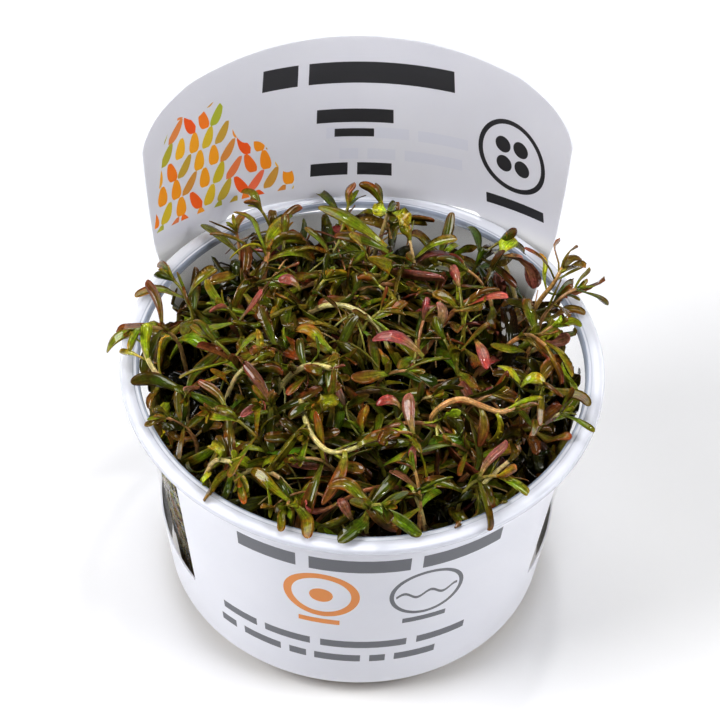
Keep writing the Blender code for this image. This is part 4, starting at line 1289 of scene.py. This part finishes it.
def buildSmallShoots(looks):
    rng = np.random.default_rng(77)
    counts = [plantPiece(f"small_shoots_top_{part + 1}", clumpedShoots(rng, layer), looks)
              for part, layer in enumerate(tangleLayers)]
    counts += [plantPiece("small_shoots_" + name, scatteredShoots(rng, looseShoots[name]), looks)
               for name in ("hooks", "roots")]
    counts.append(plantPiece("small_shoots_marked", markedShoots(rng), looks))
    counts.append(plantPiece("small_shoots_low", scatteredShoots(rng, looseShoots["low"]), looks))
    pressed = [plantLook(name, blade, wallShoots["wet"])
               for name, blade in (("pressedBlade", True), ("pressedStem", False))]
    counts.append(plantPiece("small_shoots_wall", standingShoots(rng, wallShoots), pressed))
    print("small shoots, triangles in each piece:", counts)


# Upright streaks of olive, brown and dark green with pale stems between them, by Object coordinates
# squeezed to a fifth in height.
def pressedLook():
    shop = Shop("pressedLeaves")
    tall = shop.node("ShaderNodeMapping", None, {0: shop.place(), 3: (1.0, 1.0, 0.22)})
    streak = shop.noise(420.0, 4.0, 0.6, at=tall)
    patch = shop.noise(150.0, 3.0, 0.5, at=tall)
    tone = shop.ramp(streak, (0.30, (0.010, 0.006, 0.002)), (0.45, (0.055, 0.040, 0.008)),
                     (0.58, (0.120, 0.100, 0.018)), (0.72, (0.26, 0.20, 0.07)))
    shade = shop.ramp(patch, (0.35, (0.55, 0.35, 0.30)), (0.55, white), (0.7, (0.8, 1.3, 0.8)))
    shop.set(BaseColor=shop.multiply(1.0, tone, shade), Roughness=streak * 0.3 + 0.4, SpecularIorLevel=0.02)
    shop.bump(streak, 0.5, 0.0004)
    return shop.material


# Band of pressed leaves, in mm; each wave of its upper edge is a height, its times round and its start
pressedSize = dict(foot=1.5, top=47.0, windows=4.0, waves=((2.2, 7, 0.0), (1.6, 17, 1.0), (1.2, 41, 0.0)),
                   gap=0.15, lump=0.2, thick=1.5)


# Leaves pressed flat on the wall from inside: a closed lumpy band a gap inside the seen inner wall, its lumps
# two crossed sine waves, its upper edge ragged and higher at the windows.
def buildPressed():
    p = pressedSize
    turn = np.linspace(0, fullTurn, 360, endpoint=False)
    rise = np.linspace(0, 1, 40)[:, None]
    ragged = sum((high * np.sin(turn * times + start) for high, times, start in p["waves"]),
                 p["top"] + p["windows"] * np.cos(turn) ** 2) * mm
    low = gelTop - p["foot"] * mm
    z = low + (ragged - low) * rise
    bumps = (np.sin(turn * 63 + 3 * np.sin(z * 160)) * np.sin(z * 210 + turn * 19)
             + np.sin(turn * 97 + z * 260))
    outer = cupOuter(z) - cupSize["wallSeen"] - p["gap"] * mm - p["lump"] * mm * (2 + bumps)
    sides = [np.stack([r * np.cos(turn), r * np.sin(turn), z + 0 * turn], -1)
             for r in (outer, outer - p["thick"] * mm)]
    points = np.concatenate([sides[0], sides[1][::-1]])
    quads = ringQuads(len(points), len(turn), closed=True)
    made = makeObject("small_shoots_pressed", points.reshape(-1, 3), quads, np.zeros((0, 3), int),
                      [pressedLook()])
    settle(made, "small_shoots")


# Stage and camera. Lamps are discs: name, place, size across and power. The camera sees a paler world than
# the one that lights the plants, and the floor brightens far out, so that low views end in white.

stageLook = dict(
    lamps=[
        ("keyLight", (-0.7, -0.2, 0.62), 0.55, 9.0),
        ("rightLight", (0.72, -0.2, 0.56), 0.55, 6.6),
        ("backLight", (-0.1, 0.45, 0.75), 0.5, 2.4),
        ("topLight", (0.05, -0.3, 0.95), 0.25, 1.0),
        ("glintLight", (0.1, 0.2, 0.9), 0.06, 0.9),
    ],
    aim=(0, 0, 0.05), sky=0.05, seenSky=0.9, skyTone=(0.93, 0.95, 1.0, 1.0), floorHalf=3.0,
)
cameraLook = dict(distance=450.0, elevation=47.74, roll=2.588, sideways=-0.546, height=58.8,
                  focalPixels=2293.5, photoWide=720)


def floorLook():
    shop = Shop("paleFloor")
    out = shop.node("ShaderNodeVectorMath", dict(operation="LENGTH"), {0: shop.place()}, out=1)
    far = shop.ramp(out / 2.0, (0.25, black), (0.8, (0.85, 0.86, 0.88)))
    shop.set(BaseColor=(0.82, 0.82, 0.83), Roughness=0.6, EmissionColor=far, EmissionStrength=1.0)
    return shop.material


def buildStage():
    s = stageLook
    h = s["floorHalf"]
    floor = makeObject("floor", np.array([(-h, -h, 0), (h, -h, 0), (h, h, 0), (-h, h, 0)]),
                       np.array([(0, 1, 2, 3)]), np.zeros((0, 3), int), [floorLook()], smooth=False)
    world = bpy.data.worlds.new("studio")
    world.use_nodes = True
    tree = world.node_tree
    sky = tree.nodes["Background"]
    seen = tree.nodes.new("ShaderNodeBackground")
    path = tree.nodes.new("ShaderNodeLightPath")
    both = tree.nodes.new("ShaderNodeMixShader")
    for back, strength in ((sky, s["sky"]), (seen, s["seenSky"])):
        back.inputs["Color"].default_value = s["skyTone"]
        back.inputs["Strength"].default_value = strength
    tree.links.new(path.outputs["Is Camera Ray"], both.inputs[0])
    tree.links.new(sky.outputs[0], both.inputs[1])
    tree.links.new(seen.outputs[0], both.inputs[2])
    tree.links.new(both.outputs[0], tree.nodes["World Output"].inputs["Surface"])
    bpy.context.scene.world = world
    for name, place, size, power in s["lamps"]:
        lamp = bpy.data.lights.new(name, "AREA")
        lamp.shape = "DISK"
        lamp.size = size
        lamp.energy = power
        made = bpy.data.objects.new(name, lamp)
        made.location = place
        made.rotation_euler = (Vector(s["aim"]) - Vector(place)).to_track_quat("-Z", "Y").to_euler()
        bpy.context.scene.collection.objects.link(made)


# The camera's right, up and ahead and its place: it looks along +Y and down by its elevation, and is rolled
# about its own line of sight.
def cameraAxes():
    c = cameraLook
    e = math.radians(c["elevation"])
    roll = math.radians(c["roll"])
    target = Vector((c["sideways"] * mm, 0, c["height"] * mm))
    ahead = Vector((0, math.cos(e), -math.sin(e)))
    up = Vector((0, math.sin(e), math.cos(e)))
    right = Vector((1, 0, 0))
    turnedRight = right * math.cos(roll) + up * math.sin(roll)
    turnedUp = up * math.cos(roll) - right * math.sin(roll)
    return turnedRight, turnedUp, ahead, target - ahead * c["distance"] * mm


def buildCamera():
    right, up, ahead, eye = cameraAxes()
    data = bpy.data.cameras.new("camera")
    data.sensor_width = 36.0
    data.lens = cameraLook["focalPixels"] / cameraLook["photoWide"] * data.sensor_width
    data.clip_start = 0.01
    data.clip_end = 20.0
    made = bpy.data.objects.new("camera", data)
    axes = Matrix((right, up, -ahead)).transposed().to_4x4()
    axes.translation = eye
    made.matrix_world = axes
    bpy.context.scene.collection.objects.link(made)
    bpy.context.scene.camera = made


bpy.context.scene.view_settings.view_transform = "Standard"
bpy.context.scene.view_settings.gamma = 0.86  # a photograph's steeper tones
buildCamera()
buildStage()
print("camera and stage made")
buildCup()
buildGel()
buildSleeve()
print("cup, gel and sleeve made")
plantLooks = [plantLook("leafBlade", True), plantLook("greenStem", False)]
buildLongShoots(plantLooks)
buildSmallShoots(plantLooks)
buildPressed()
print("plants made")
